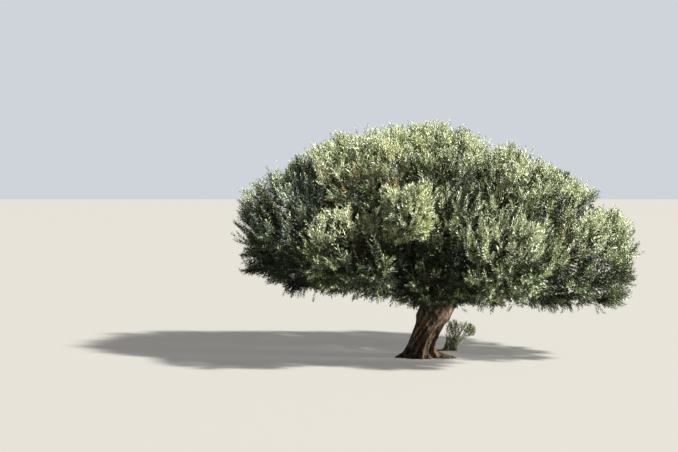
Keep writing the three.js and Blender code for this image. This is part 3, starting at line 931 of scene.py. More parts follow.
@dataclass
class Limbs:
    """All the boughs, laid out as in the solids' source."""

    trunk: Trunk
    lean_out: float = 0.45
    bend: float = 0.36
    clearance: float = 0.03
    sides: int = 22
    ring_length: float = 0.035
    start: float = 0.02
    flute_depth: float = 0.09
    knot_depth: float = 0.16
    fewest_rings: int = 12
    noise_scale: float = 2.2
    noise_apart: float = 7.3
    relief_size: float = 0.8
    flute_scale: tuple[float, float, float] = (2.6, 2.6, 1.1)
    flute_sharpness: float = 2.2
    flute_level: float = 0.4
    knot_scale: float = 1.7
    knot_above: float = 0.12
    rank_share: float = 0.35
    boughs: dict[str, Bough] = field(default_factory=dict)

    def lay_out(self, crown: "Crown") -> None:
        """Lays each bough from its carrier into its mass.

        Args:
            crown: The masses, which say where a bough enters.
        """
        for plan in BOUGHS:
            mass = crown.named(plan.mass)
            carrier = self.boughs.get(plan.source)
            if carrier:
                start = carrier.curve.points(plan.along)[0]
                leaving = carrier.curve.tangents(plan.along)[0]
            else:
                start = self.trunk.axis(self.trunk.fork_level)[0]
                leaving = UP
            end = crown.entry_point(mass, start)
            length = float(np.linalg.norm(end - start))
            first = unit(blend(leaving, unit(end - start), self.lean_out))
            inwards = unit(mass.middle - end)
            bend = self.bend * length
            curve = Curve([start, start + first * bend, end - inwards * bend, end])
            self.boughs[plan.mass] = Bough(plan, curve)

    def clear(self, points: np.ndarray) -> np.ndarray:
        """Which points keep clear of the trunk and of every bough.

        Args:
            points: One a row.

        Returns:
            True for each point that is clear.
        """
        trunk = self.trunk
        heights = np.clip(points[:, 2], 0, TREE.trunk_height)
        reach = trunk.radius(heights) * trunk.bulge + self.clearance
        reach += trunk.roots[0][1] * trunk.root_share(heights)
        away = np.linalg.norm(points - trunk.axis(heights), axis=1)
        clear = (points[:, 2] >= TREE.trunk_height + reach) | (away >= reach)
        for bough in self.boughs.values():
            places, radii = bough.waypoints
            gaps = np.linalg.norm(points[:, None, :] - places[None, :, :], axis=2)
            clear &= np.all(gaps >= radii + self.clearance, axis=1)
        return clear

    def _carve(self, shape: bmesh.types.BMesh, bough: Bough, number: int) -> None:
        """Gives a limb its flutes and knots, and marks how they rank.

        Args:
            shape: The limb.
            bough: What it was made from.
            number: What tells it from the other limbs.
        """
        ranks = shape.verts.layers.float.new("relief")
        shape.normal_update()
        size = bough.plan.radius * self.relief_size
        for vertex in shape.verts:
            place = vertex.co * self.noise_scale + Vector((number * self.noise_apart, 0, 0))
            grain = Vector([part * scale for part, scale in zip(place, self.flute_scale)])
            flute = 1 - self.flute_sharpness * abs(noise.noise(grain))
            knot = max(0.0, noise.noise(place * self.knot_scale) - self.knot_above)
            out = self.flute_depth * (flute - self.flute_level) + self.knot_depth * knot
            vertex.co += vertex.normal * size * out
            vertex[ranks] = clipped(0.5 + self.rank_share * flute)

    def build(self, finish: bpy.types.Material) -> bpy.types.Object:
        """Builds all the boughs with their bark as one piece.

        Args:
            finish: The bark.

        Returns:
            The piece.
        """
        whole = bmesh.new()
        for number, bough in enumerate(self.boughs.values()):
            rings = max(self.fewest_rings, round(bough.curve.length / self.ring_length))
            shape = bough.tube(self.start, 1.0, 1.0, self.sides, rings)
            self._carve(shape, bough, number)
            add_shape(whole, shape)
        mesh = mesh_of(whole, "bough_limbs")
        mesh.materials.append(finish)
        mesh.shade_smooth()
        nodes = [f"bough_{name}" for name in self.boughs]
        return add_piece("boughs_with_bark", mesh, nodes)


@dataclass
class Stalks:
    """Many slender limbs at once, each a curve of three control points."""

    roots: np.ndarray
    bends: np.ndarray
    tips: np.ndarray
    outwards: np.ndarray
    tints: np.ndarray
    thick: float
    thin: float

    @property
    def count(self) -> int:
        """How many there are."""
        return len(self.roots)

    def points(self, along: np.ndarray) -> np.ndarray:
        """The point of each stalk at its own share of the way."""
        share = along[:, None]
        return (1 - share) ** 2 * self.roots + 2 * share * (1 - share) * self.bends + share ** 2 * self.tips

    def tangents(self, along: np.ndarray) -> np.ndarray:
        """The direction of each stalk at its own share of the way."""
        share = along[:, None]
        return unit((1 - share) * (self.bends - self.roots) + share * (self.tips - self.bends))

    def pick(self, rows: np.ndarray) -> "Stalks":
        """Some of the stalks, by number or by a mask."""
        return Stalks(self.roots[rows], self.bends[rows], self.tips[rows], self.outwards[rows],
                      self.tints[rows], self.thick, self.thin)

    @staticmethod
    def joined(several: list["Stalks"]) -> "Stalks":
        """Several sets of stalks of one kind as one."""
        stack = [np.concatenate([getattr(each, name) for each in several])
                 for name in ("roots", "bends", "tips", "outwards", "tints")]
        return Stalks(*stack, several[0].thick, several[0].thin)

    def faces(self, sides: int, steps: int) -> tuple[np.ndarray, np.ndarray, np.ndarray]:
        """The stalks as closed tubes that end in a point.

        Args:
            sides: Faces round each.
            steps: Faces along each.

        Returns:
            Vertices, corners and face sizes.
        """
        count, rings = self.count, []
        for step in range(steps):
            along = np.full(count, step / steps)
            middle = self.points(along)
            side, other = across(self.tangents(along))
            radius = blend(self.thick, self.thin, step / steps)
            for k in range(sides):
                turn = TURN * k / sides
                rings.append(middle + radius * (math.cos(turn) * side + math.sin(turn) * other))
        rings.append(self.tips)
        vertices = np.stack(rings, axis=1)
        corners = list(range(sides))
        sizes = [sides]
        for step in range(steps - 1):
            for k in range(sides):
                low, high = step * sides, (step + 1) * sides
                corners += [low + k, high + k, high + (k + 1) % sides, low + (k + 1) % sides]
                sizes.append(4)
        for k in range(sides):
            last = (steps - 1) * sides
            corners += [last + k, steps * sides, last + (k + 1) % sides]
            sizes.append(3)
        each = steps * sides + 1
        every = np.array(corners)[None, :] + each * np.arange(count)[:, None]
        return vertices.reshape(-1, 3), every.ravel(), np.tile(sizes, count)


@dataclass
class Crown:
    """The spaces that the masses of foliage keep to, as in the solids' source."""

    limbs: Limbs
    masses: tuple[MassPlan, ...] = MASSES + (SUCKERS,)
    seed: int = 41
    entry_share: float = 0.8
    reach_step: float = 0.05
    space_power: float = 2.6
    space_margin: float = 0.035
    ground_clearance: float = 0.04
    box_margin: float = 0.015
    shortening: float = 0.06
    shortest: float = 0.4
    shell: float = 0.5
    lookouts: int = 22
    valley_hardness: float = 6.0
    furthest_out: float = 1.5
    plumes_per_area: float = 1.4
    fewest_plumes: int = 6
    plume_shift: float = 0.55
    plume_height: tuple[float, float] = (0.88, 1.05)
    plume_squash: tuple[float, float, float] = (1.0, 1.0, 0.55)
    crease: float = 0.24
    # Where the shade tint is painted between masses: how wide that band beside a neighbouring mass is, and
    # the heights over which the painted shade fades out at the top.
    lane_width: tuple[float, float] = (0.1, 0.32)
    lane_top: tuple[float, float] = (0.74, 0.92)

    def __post_init__(self) -> None:
        """Sets out the plumes that each mass bulges into."""
        self.plumes = {}
        for number, mass in enumerate(self.masses):
            chance = np.random.default_rng(number + self.seed)
            count = max(self.fewest_plumes, round(mass.area * self.plumes_per_area))
            ways = self.even_directions(count, chance.random() * TURN)
            ways = unit(ways + self.plume_shift * (chance.random((count, 3)) - 0.5) * 4 / math.sqrt(count))
            heights = blend(*self.plume_height, chance.random(count))
            self.plumes[mass.name] = (ways, heights, 2 / math.sqrt(count))

    def edge(self, mass: MassPlan, points: np.ndarray) -> np.ndarray:
        """How far out a mass may reach past points, as shares: furthest over its plumes."""
        ways, heights, radius = self.plumes[mass.name]
        squash = np.array(self.plume_squash) / radius
        towards = unit((points - mass.middle) / mass.reach) * squash
        gaps = ((towards[:, None, :] - ways * squash) ** 2).sum(axis=2)
        return (heights - self.crease * np.minimum(gaps, 1)).max(axis=1)

    def named(self, name: str) -> MassPlan:
        """The mass of a name."""
        return next(mass for mass in self.masses if mass.name == name)

    def share_out(self, mass: MassPlan, points: np.ndarray) -> np.ndarray:
        """How far out points lie in a mass: 0 at its heart, 1 on the body that bounds it."""
        powers = np.abs((points - mass.middle) / mass.reach) ** self.space_power
        return powers.sum(axis=-1) ** (1 / self.space_power)

    def shares_elsewhere(self, mass: MassPlan, points: np.ndarray) -> np.ndarray:
        """How far out points lie in each of the other masses, one mass a row."""
        return np.stack([self.share_out(other, points) for other in self.masses if other is not mass])

    def in_space(self, mass: MassPlan, points: np.ndarray, overlap: float | None = None) -> np.ndarray:
        """Which points lie in a mass's own space.

        By the source's rule that is its rounded body, less what is nearer another mass, and with
        its share of the valleys between them. Finer growth bulges out into plumes and crosses
        a little into a neighbour, so that the masses read as one crown.

        Args:
            mass: The mass.
            points: One a row.
            overlap: How far finer growth may cross a border, as a share, or None for the rule.

        Returns:
            True for each point inside.
        """
        own = self.share_out(mass, points)
        inside = (own < self.furthest_out) & (points[:, 2] >= self.ground_clearance)
        rows = np.flatnonzero(inside)
        near, own = points[rows], own[rows]
        others = self.shares_elsewhere(mass, near)
        filling = np.log1p(np.exp(self.valley_hardness * (own - others)).sum(axis=0)) / self.valley_hardness
        edge = 1 if overlap is None else self.edge(mass, near)
        border = 2 * self.space_margin if overlap is None else -overlap
        inside[rows] = (own - filling <= edge) & (others.min(axis=0) > own + border)
        return inside

    def lane_share(self, mass: MassPlan, points: np.ndarray) -> np.ndarray:
        """How far points lie in the shaded lanes between a mass and its neighbours, from 0 to 1."""
        # Painted shade: the share is highest between masses and fades out near the top of the crown, where
        # light falls.
        nearest = self.shares_elsewhere(mass, points).min(axis=0)
        beside = 1 - smooth_share(nearest - self.share_out(mass, points), *self.lane_width)
        return beside * (1 - smooth_share(points[:, 2] / TREE.height, *self.lane_top))

    def in_box(self, points: np.ndarray) -> np.ndarray:
        """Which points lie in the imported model's box, give or take the margin."""
        low, high = np.array(CAD_BOX)
        spare = (high - low) * self.box_margin
        return np.all((points >= low - spare) & (points <= high + spare), axis=1)

    def allows(self, mass: MassPlan, points: np.ndarray, overlap: float | None = None) -> np.ndarray:
        """Which points foliage of a mass may take."""
        good = self.in_space(mass, points, overlap) & self.in_box(points)
        rows = np.flatnonzero(good)
        good[rows] = self.limbs.clear(points[rows])
        return good

    def exposed(self, points: np.ndarray) -> np.ndarray:
        """Which points lie in the crown's outer shell, where they can be seen.

        Args:
            points: One a row.

        Returns:
            True where a short way in some direction leaves the crown.
        """
        seen = np.zeros(len(points), bool)
        for way in self.even_directions(self.lookouts, 0.0):
            rows = np.flatnonzero(~seen)
            probe = points[rows] + way * self.shell
            seen[rows] = np.all([self.share_out(mass, probe) > 1 for mass in self.masses], axis=0)
        return seen

    def point_out(self, mass: MassPlan, directions: np.ndarray, shares: np.ndarray) -> np.ndarray:
        """Points at shares of the way from the heart to the ellipsoid, in directions."""
        return mass.middle + directions * mass.reach * np.atleast_1d(shares)[:, None]

    def reach_along(self, mass: MassPlan, directions: np.ndarray,
                    overlap: float | None = None) -> np.ndarray:
        """The shares at which ways out from the heart leave the mass's space."""
        shares = np.zeros(len(directions))
        moving = np.ones(len(directions), bool)
        while moving.any():
            ahead = shares + self.reach_step
            moving &= self.in_space(mass, self.point_out(mass, directions, ahead), overlap)
            shares[moving] = ahead[moving]
        return shares

    def entry_point(self, mass: MassPlan, start: np.ndarray) -> np.ndarray:
        """Where a bough from start enters a mass."""
        towards = unit((start - mass.middle) / mass.reach)[None, :]
        share = np.minimum(self.entry_share, self.reach_along(mass, towards))
        return self.point_out(mass, towards, share)[0]

    @staticmethod
    def even_directions(count: int, turn: float) -> np.ndarray:
        """Directions spread evenly over a sphere, by the golden angle."""
        k = np.arange(count)
        z = 1 - 2 * (k + 0.5) / count
        angles = k * GOLDEN_ANGLE + turn
        flat = np.sqrt(1 - z * z)
        return np.stack([flat * np.cos(angles), flat * np.sin(angles), z], axis=-1)

    def fitted(self, mass: MassPlan, roots: np.ndarray, ways: np.ndarray, lengths: np.ndarray,
               overlap: float | None = None) -> np.ndarray:
        """Lengths cut back until each growth stays in its space, or nought where none does.

        Args:
            mass: The mass that they belong to.
            roots: Where they start.
            ways: Their directions.
            lengths: Their full lengths.
            overlap: How far they may cross a border, or None for the source's rule.

        Returns:
            The lengths that fit.
        """
        kept = np.zeros(len(roots))
        rows = np.arange(len(roots))
        for part in np.arange(1, self.shortest, -self.shortening):
            tries = lengths[rows] * part
            good = self.allows(mass, roots[rows] + ways[rows] * tries[:, None], overlap)
            kept[rows[good]] = tries[good]
            rows = rows[~good]
        return kept


@dataclass
class Foliage:
    """One mass of foliage, grown from its stem to its leaves."""

    crown: Crown
    mass: MassPlan
    seed: int = 101
    stem_gap: float = 0.0003
    stem_tip_radius: float = 0.026
    stem_faces: tuple[int, int] = (8, 8)
    least_reach: float = 0.5
    twig_share: float = 0.74
    twig_from: float = 0.35
    twig_stretch: float = 0.6
    twig_arch: float = 0.07
    twig_radius: float = 0.017
    twig_tip_radius: float = 0.009
    twig_faces: tuple[int, int] = (5, 4)
    twig_tests: tuple[float, ...] = (0.3, 0.5, 0.7, 0.85, 1.0)
    twig_leaves_from: tuple[float, ...] = (0.62,)
    fine_twigs: float = 1.0
    fine_reach: float = 0.3
    fine_share: tuple[float, float] = (0.5, 0.78)
    fine_tests: tuple[float, ...] = (0.5, 0.75, 1.0)
    spray_length: float = 0.74
    spray_places: tuple[float, ...] = (0.98, 0.84)
    spray_lift: float = 0.7
    skirt_lift: float = 0.1
    skirt_below: float = -0.35
    spray_scatter: float = 1.1
    sprays_per_area: float = 14.5
    spray_depth: tuple[float, float] = (0.72, 0.94)
    spray_overlap: float = 0.06
    spray_leaving: float = 0.18
    spray_sag: float = 0.1
    spray_radius: float = 0.0055
    spray_tip_radius: float = 0.003
    spray_faces: tuple[int, int] = (3, 2)
    spray_test: float = 0.6
    spray_bare: float = 0.45
    forks: int = 8
    forks_from: float = 0.3
    fall_cost: float = 0.5
    tries: int = 3
    hidden_kept: float = 0.15
    # The inner sprays carry larger leaves in the inner tint: a dark layer of painted shade inside the
    # crown.
    inner_per_area: float = 6.0
    inner_depth: tuple[float, float] = (0.45, 0.82)
    inner_leaf: float = 1.7
    inner_shoots: int = 3
    carried_tint: float = 0.6
    own_tint: float = 0.55
    shoots: int = 6
    shoots_from: float = 0.25
    last_shoot: float = 0.97
    shoot_length: tuple[float, float] = (0.2, 0.46)
    shoot_overlap: float = 0.15
    shoot_along: float = 0.3
    shoot_lift: float = 0.85
    shoot_skirt_lift: float = 0.1
    shoot_lift_heights: tuple[float, float] = (-0.75, 0.0)
    shoot_out: float = 0.25
    shoot_fan: float = 0.5
    shoot_spread: float = 0.36
    shoot_scatter: float = 0.5
    shoot_bow: float = 0.05
    shoot_radius: float = 0.0028
    shoot_tip_radius: float = 0.001
    shoot_faces: tuple[int, int] = (3, 1)
    leaf_pairs: int = 13
    first_leaf: float = 0.6
    leaf_gap: float = 0.034
    leaf_roll: float = 0.5
    leaf_spread: tuple[float, float] = (60.0, 28.0)
    leaf_spread_scatter: float = 26.0
    leaf_tilt: float = 80.0
    leaf_sizes: tuple[float, float] = (0.72, 1.15)
    last_leaf: float = 0.72
    leaf_length: float = 0.082
    leaf_width: float = 0.022
    leaf_widest: float = 0.42
    leaf_fold: float = 0.22
    under_share: float = 0.42
    sucker_level: float = 0.13
    sucker_depth: float = 0.75
    sucker_rise: float = 0.1
    sucker_stem: float = 0.02
    sucker_leaves_from: tuple[float, ...] = (0.0, 0.42)

    def __post_init__(self) -> None:
        """Sets the mass's own source of chance."""
        self.number = self.crown.masses.index(self.mass)
        self.chance = np.random.default_rng(self.number + self.seed)

    def between(self, limits: tuple[float, float], count: int) -> np.ndarray:
        """Chance numbers between two limits."""
        return blend(*limits, self.chance.random(count))

    def scatter(self, width: float, shape: int | tuple[int, int]) -> np.ndarray:
        """Chance numbers spread evenly about nought, over a width."""
        return (self.chance.random(shape) - 0.5) * width

    def stem(self) -> Curve:
        """The stem of the mass, from its bough's tip or the trunk to near its heart."""
        mass, limbs = self.mass, self.crown.limbs
        if mass.core:
            curve = limbs.boughs[mass.name].curve
            direction = curve.tangents(1)[0]
            foot = curve.points(1)[0] + direction * self.stem_gap
        else:
            foot = limbs.trunk.axis(self.sucker_level)[0]
            foot = foot + EAST * self.sucker_depth * limbs.trunk.radius(self.sucker_level)
            direction = unit(EAST + self.sucker_rise * UP)
        past = mass.middle + UP * mass.reach[2] * mass.stem_rise
        away = float(np.linalg.norm(foot - mass.middle))
        return Curve([foot, foot + direction * away * 0.5, past])

    def twig_curve(self, stem: Curve, outwards: np.ndarray, share: float, start: float) -> Curve:
        """A twig from the stem towards the edge of the mass, with a slight rise."""
        tip = self.crown.point_out(self.mass, outwards[None, :], share)[0]
        root = stem.points(self.twig_from + self.twig_stretch * start)[0]
        return Curve([root, (root + tip) / 2 + UP * self.mass.reach[2] * self.twig_arch, tip])

    def own_growth(self, stem: Curve) -> tuple[list, list]:
        """The twigs and sprays of the solid itself, drawn with the same seed.

        Args:
            stem: The mass's stem.

        Returns:
            The twigs' curves with their ways out, and for each spray its root, way and way out.
        """
        share = SeededShares(self.number + 1)
        if self.mass.core:
            share()  # The source turns the core by this number.
        twigs, sprays = [], []
        directions = self.crown.even_directions(self.mass.twigs, share() * TURN)
        for outwards, reach in zip(directions, self.crown.reach_along(self.mass, directions)):
            if reach <= self.least_reach or outwards[2] <= self.mass.lowest:
                continue
            curve = self.twig_curve(stem, outwards, reach * self.twig_share, share())
            if not self.crown.allows(self.mass, curve.points(np.array(self.twig_tests))).all():
                continue
            twigs.append((curve, outwards))
            lift = self.spray_lift if outwards[2] > self.skirt_below else self.skirt_lift
            for along in self.spray_places:
                scatter = np.array([share() - 0.5, share() - 0.5, share() - 0.5])
                share()  # The source rolls the spray by this number.
                way = unit(outwards + UP * lift + scatter * self.spray_scatter)
                sprays.append((curve.points(along)[0], way, outwards))
        return twigs, sprays

    def fine_growth(self, stem: Curve) -> list:
        """Finer twigs by the same rule, between those of the solid."""
        count = round(self.mass.area * self.fine_twigs * self.mass.density) + 2 * self.mass.twigs
        directions = self.crown.even_directions(count, self.chance.random() * TURN)
        reaches = self.crown.reach_along(self.mass, directions, -2 * self.crown.space_margin)
        twigs = []
        for outwards, reach in zip(directions, reaches):
            start, part = self.chance.random(2)
            if reach <= self.fine_reach or outwards[2] <= self.mass.lowest:
                continue
            curve = self.twig_curve(stem, outwards, reach * blend(*self.fine_share, part), start)
            if self.crown.allows(self.mass, curve.points(np.array(self.fine_tests)), 0.0).all():
                twigs.append((curve, outwards))
        return twigs

    def tints(self, normals: np.ndarray, places: np.ndarray | None = None) -> np.ndarray:
        """A tint for each way out: one for the crest, the sides or the skirt of a mass.

        Args:
            normals: Ways out, one a row.
            places: Where each grows, if those beside a neighbouring mass are to get painted shade.

        Returns:
            The tints' numbers.
        """
        palette = self.mass.palette
        drawn = np.zeros(len(normals), int)
        # Lighter tints on the crest and darker ones on the skirt: partly fresh growth, partly painted light
        # from above.
        crest = normals[:, 2] > palette.crest_above
        skirt = normals[:, 2] < palette.skirt_below
        between = ~crest & ~skirt
        for weights, rows in ((palette.crest, crest), (palette.side, between), (palette.skirt, skirt)):
            numbers = [TINTS.index(tint) for tint in weights]
            odds = np.array(list(weights.values()))
            drawn[rows] = self.chance.choice(numbers, rows.sum(), p=odds / odds.sum())
        # Painted shade: growth beside a neighbouring mass gets the shade tint.
        if places is not None:
            lanes = palette.lanes * self.crown.lane_share(self.mass, places)
            drawn[self.chance.random(len(places)) < lanes] = TINTS.index(Tint.SHADE)
        return drawn

    def as_twigs(self, rows: list) -> Stalks:
        """The twigs' curves as stalks, each with a tint for what it carries."""
        controls = np.array([curve.controls for curve, _ in rows])
        outwards = np.array([way for _, way in rows])
        return Stalks(controls[:, 0], controls[:, 1], controls[:, 2], outwards, self.tints(outwards),
                      self.twig_radius * self.mass.scale ** 2, self.twig_tip_radius * self.mass.scale ** 2)

    def sprays_of(self, roots: np.ndarray, tips: np.ndarray, leaving: np.ndarray,
                  normals: np.ndarray, tints: np.ndarray) -> Stalks:
        """Sprays that leave their twigs one way and turn up to their tips."""
        length = np.linalg.norm(tips - roots, axis=1, keepdims=True)
        bends = (roots + tips) / 2 + length * (self.spray_leaving * leaving - self.spray_sag * UP)
        return Stalks(roots, bends, tips, normals, tints, self.spray_radius, self.spray_tip_radius)

    def own_sprays(self, rows: list) -> Stalks:
        """The sprays of the solid itself, cut back to the mass's space."""
        roots, ways, outwards = (np.array(column) for column in zip(*rows))
        lengths = np.full(len(roots), self.spray_length * self.mass.scale)
        kept = self.crown.fitted(self.mass, roots, ways, lengths)
        tips = roots + ways * kept[:, None]
        made = self.sprays_of(roots, tips, ways, outwards, self.tints(outwards))
        return made.pick(kept > 0)

    def spray_ends(self, inner: bool) -> tuple[np.ndarray, np.ndarray]:
        """Evenly spread places near the edge of the mass's space, or inside.

        Args:
            inner: Whether they are inside.

        Returns:
            The places and the ways out there, the outer ones thinned where nothing would be seen.
        """
        crown, mass = self.crown, self.mass
        per_area, depth = ((self.inner_per_area, self.inner_depth) if inner
                           else (self.sprays_per_area, self.spray_depth))
        count = round(mass.area * per_area * mass.density)
        directions = crown.even_directions(self.tries * count, self.chance.random() * TURN)
        reaches = crown.reach_along(mass, directions, self.spray_overlap)
        spread = reaches ** 2 * np.prod(mass.reach) * np.linalg.norm(directions / mass.reach, axis=1)
        kept = self.chance.random(len(spread)) * self.tries < spread * 4 * math.pi / mass.area
        free = kept & (reaches > self.fine_reach) & (directions[:, 2] > mass.lowest)
        directions, reaches = directions[free], reaches[free]
        tips = crown.point_out(mass, directions, reaches * self.between(depth, len(reaches)))
        normals = unit(directions / mass.reach)
        if inner:
            return tips, normals
        shown = crown.exposed(tips) | (self.chance.random(len(tips)) < self.hidden_kept)
        return tips[shown], normals[shown]

    def forks_near(self, twigs: Stalks, tips: np.ndarray) -> tuple[np.ndarray, np.ndarray, np.ndarray]:
        """Where each spray leaves a twig: near its tip, and rather from below than from above.

        Args:
            twigs: The twigs.
            tips: The tips of the sprays, one a row.

        Returns:
            The places, the directions of the twigs there and the twigs' numbers.
        """
        along = np.linspace(self.forks_from, 1.0, self.forks)
        forks = np.concatenate([twigs.points(np.full(twigs.count, part)) for part in along])
        ways = np.concatenate([twigs.tangents(np.full(twigs.count, part)) for part in along])
        gaps = np.linalg.norm(tips[:, None, :] - forks[None, :, :], axis=2)
        gaps += self.fall_cost * np.maximum(forks[None, :, 2] - tips[:, None, 2], 0)
        nearest = gaps.argmin(axis=1)
        return forks[nearest], ways[nearest], nearest % twigs.count

    def reaching_sprays(self, twigs: Stalks, inner: bool) -> Stalks:
        """Sprays that reach evenly spread places near the edge of the mass's space, or inside.

        Args:
            twigs: The twigs that they leave.
            inner: Whether they fill the inside, with leaves in the mass's inner tint, a painted shade.

        Returns:
            The sprays.
        """
        tips, normals = self.spray_ends(inner)
        roots, ways, carriers = self.forks_near(twigs, tips)
        own = self.tints(normals, tips)
        carried = self.chance.random(len(tips)) < (0 if inner else self.carried_tint)
        tints = np.where(carried, twigs.tints[carriers], own)
        # Painted shade: inner sprays all get the palette's inner tint.
        if inner:
            tints = np.full_like(tints, TINTS.index(self.mass.palette.inner))
        made = self.sprays_of(roots, tips, ways, normals, tints)
        middles = made.points(np.full(made.count, self.spray_test))
        return made.pick(self.crown.allows(self.mass, made.tips, self.shoot_overlap)
                         & self.crown.allows(self.mass, middles, self.shoot_overlap))

    def shoots_on(self, sprays: Stalks, number: int) -> Stalks:
        """Leafy shoots that rise from the sprays and fan out from the fork.

        Args:
            sprays: The stalks that carry them.
            number: How many each one carries.

        Returns:
            The shoots.
        """
        made = []
        count = sprays.count
        fork = self.crown.limbs.trunk.axis(TREE.trunk_height)[0]
        hub = fork if self.mass.core else self.mass.middle - UP
        for k in range(number):
            along = (np.full(count, self.last_shoot) if k == number - 1
                     else (k + 0.5 + 0.5 * self.chance.random(count)) / number)
            along = blend(self.shoots_from, 1.0, along)
            roots = sprays.points(along)
            carried = sprays.tangents(along)
            ring = turned(*across(carried), k * GOLDEN_ANGLE + TURN * self.chance.random(count))
            high = smooth_share(sprays.outwards[:, 2:3], *self.shoot_lift_heights)
            lift = blend(self.shoot_skirt_lift, self.shoot_lift, high) * UP
            scatter = self.scatter(self.shoot_scatter, (count, 3))
            ways = unit(self.shoot_along * carried + lift + self.shoot_out * sprays.outwards
                        + self.shoot_fan * unit(roots - hub) + self.shoot_spread * ring + scatter)
            lengths = self.between(self.shoot_length, count) * self.mass.shoot_scale
            kept = self.crown.fitted(self.mass, roots, ways, lengths, self.shoot_overlap)
            tips = roots + ways * kept[:, None]
            bow = self.scatter(2 * self.shoot_bow, (count, 3))
            bends = (roots + tips) / 2 + bow * kept[:, None]
            redrawn = self.chance.random(count) < self.own_tint
            tints = np.where(redrawn, self.tints(sprays.outwards, tips), sprays.tints)
            stalks = Stalks(roots, bends, tips, sprays.outwards, tints,
                            self.shoot_radius, self.shoot_tip_radius)
            made.append(stalks.pick(kept > 0))
        return Stalks.joined(made)

    def leaves_on(self, stalks: Stalks, bare: float, scale: float) -> tuple:
        """Leaves in pairs that turn a quarter from one pair to the next.

        Args:
            stalks: What carries them.
            bare: The share of each stalk that is bare at its foot.
            scale: How much larger than the outer leaves they and the gaps between them are.

        Returns:
            Places, ways, blade directions, sizes and tints, one row a leaf.
        """
        lengths = np.linalg.norm(stalks.tips - stalks.roots, axis=1)
        gap = self.leaf_gap * self.mass.leaf_scale * scale
        roll = TURN * self.chance.random(stalks.count)
        parts = []
        for pair in range(self.leaf_pairs):
            near = lengths * bare + (pair + self.first_leaf) * gap
            rows = np.flatnonzero(near < lengths)
            some, count = stalks.pick(rows), len(rows)
            along = near[rows] / lengths[rows]
            places, axes = some.points(along), some.tangents(along)
            side, other = across(axes)
            for half in range(2):
                turn = roll[rows] + pair * math.pi / 2 + half * math.pi
                ring = turned(side, other, turn + self.scatter(self.leaf_roll, count))
                spread = blend(*self.leaf_spread, along) + self.scatter(self.leaf_spread_scatter, count)
                ways = unit(turned(axes, ring, np.radians(spread)))
                flat = unit(np.cross(axes, ring))
                tilt = np.radians(self.scatter(self.leaf_tilt, count))
                flat = turned(flat, np.cross(ways, flat), tilt)
                size = scale * self.between(self.leaf_sizes, count) * blend(1.0, self.last_leaf, along ** 3)
                parts.append((places, ways, flat, size, some.tints))
        return tuple(np.concatenate(column) for column in zip(*parts))

    def leaf_mesh(self, rows: tuple, finishes: list[bpy.types.Material]) -> bpy.types.Mesh:
        """Folded, lance-shaped leaves as one mesh, each in the finish of its spray.

        Args:
            rows: What leaves_on gives.
            finishes: The leaves' materials.

        Returns:
            The mesh.
        """
        places, ways, flats, sizes, tints = rows
        length = (self.leaf_length * self.mass.leaf_scale * sizes)[:, None]
        width = (self.leaf_width * self.mass.leaf_scale * sizes / 2)[:, None]
        rise = np.cross(flats, ways) * width * 2 * self.leaf_fold
        widest = places + ways * length * self.leaf_widest
        corners = [places, places + ways * length,
                   widest - flats * width + rise, widest + flats * width + rise]
        vertices = np.stack(corners, axis=1).reshape(-1, 3)
        faces = np.array([0, 1, 2, 0, 3, 1])[None, :] + 4 * np.arange(len(places))[:, None]
        mesh = mesh_from_arrays(f"blades_{self.mass.name}", vertices, faces.ravel(),
                                np.full(2 * len(places), 3))
        finish = 2 * tints + (self.chance.random(len(places)) < self.under_share)
        used = np.unique(finish)
        for number in used:
            mesh.materials.append(finishes[number])
        rows_of_slots = np.repeat(np.searchsorted(used, finish), 2)
        mesh.polygons.foreach_set("material_index", rows_of_slots.astype(np.int32))
        mesh.shade_flat()
        return mesh

    def wood_mesh(self, parts: list[tuple], bark: bpy.types.Material) -> bpy.types.Mesh:
        """The stem, twigs, sprays and shoots as one mesh.

        Args:
            parts: What faces gives for each kind.
            bark: The twigs' material.

        Returns:
            The mesh.
        """
        offsets = np.cumsum([0] + [len(part[0]) for part in parts])
        mesh = mesh_from_arrays(
            f"wood_{self.mass.name}",
            np.concatenate([part[0] for part in parts]),
            np.concatenate([part[1] + start for part, start in zip(parts, offsets)]),
            np.concatenate([part[2] for part in parts]),
        )
        mesh.materials.append(bark)
        return mesh

    def build(self, finishes: list[bpy.types.Material], bark: bpy.types.Material) -> int:
        """Builds the twigs and the leaves of the mass.

        Args:
            finishes: The leaves' materials.
            bark: The twigs' material.

        Returns:
            How many leaves it has.
        """
        stem = self.stem()
        twig_rows, spray_rows = self.own_growth(stem)
        twigs = self.as_twigs(twig_rows + self.fine_growth(stem))
        sprays = Stalks.joined([self.own_sprays(spray_rows), self.reaching_sprays(twigs, False)])
        shoots = self.shoots_on(sprays, self.shoots)
        inner = self.reaching_sprays(twigs, True)
        inner_shoots = self.shoots_on(inner, self.inner_shoots)
        bough = self.crown.limbs.boughs.get(self.mass.name)
        foot_radius = bough.tip_radius if bough else self.sucker_stem
        stalk = Stalks(*(stem.controls[k][None, :] for k in range(3)), UP[None, :], np.zeros(1, int),
                       foot_radius, self.stem_tip_radius * self.mass.scale)
        kinds = ((stalk, self.stem_faces), (twigs, self.twig_faces), (sprays, self.spray_faces),
                 (shoots, self.shoot_faces), (inner, self.spray_faces))
        wood = [stalks.faces(*faces) for stalks, faces in kinds]
        node = f"foliage_{self.mass.name}"
        add_piece(f"twigs_{self.mass.name}", self.wood_mesh(wood, bark), [node])
        rows = [self.leaves_on(shoots, 0.0, 1.0), self.leaves_on(sprays, self.spray_bare, 1.0),
                self.leaves_on(inner_shoots, 0.0, self.inner_leaf)]
        for bare in self.twig_leaves_from if self.mass.core else self.sucker_leaves_from:
            rows.append(self.leaves_on(twigs, bare, 1.0))
        leaves = tuple(np.concatenate(parts) for parts in zip(*rows))
        add_piece(f"leaves_{self.mass.name}", self.leaf_mesh(leaves, finishes), [node])
        return len(leaves[0])


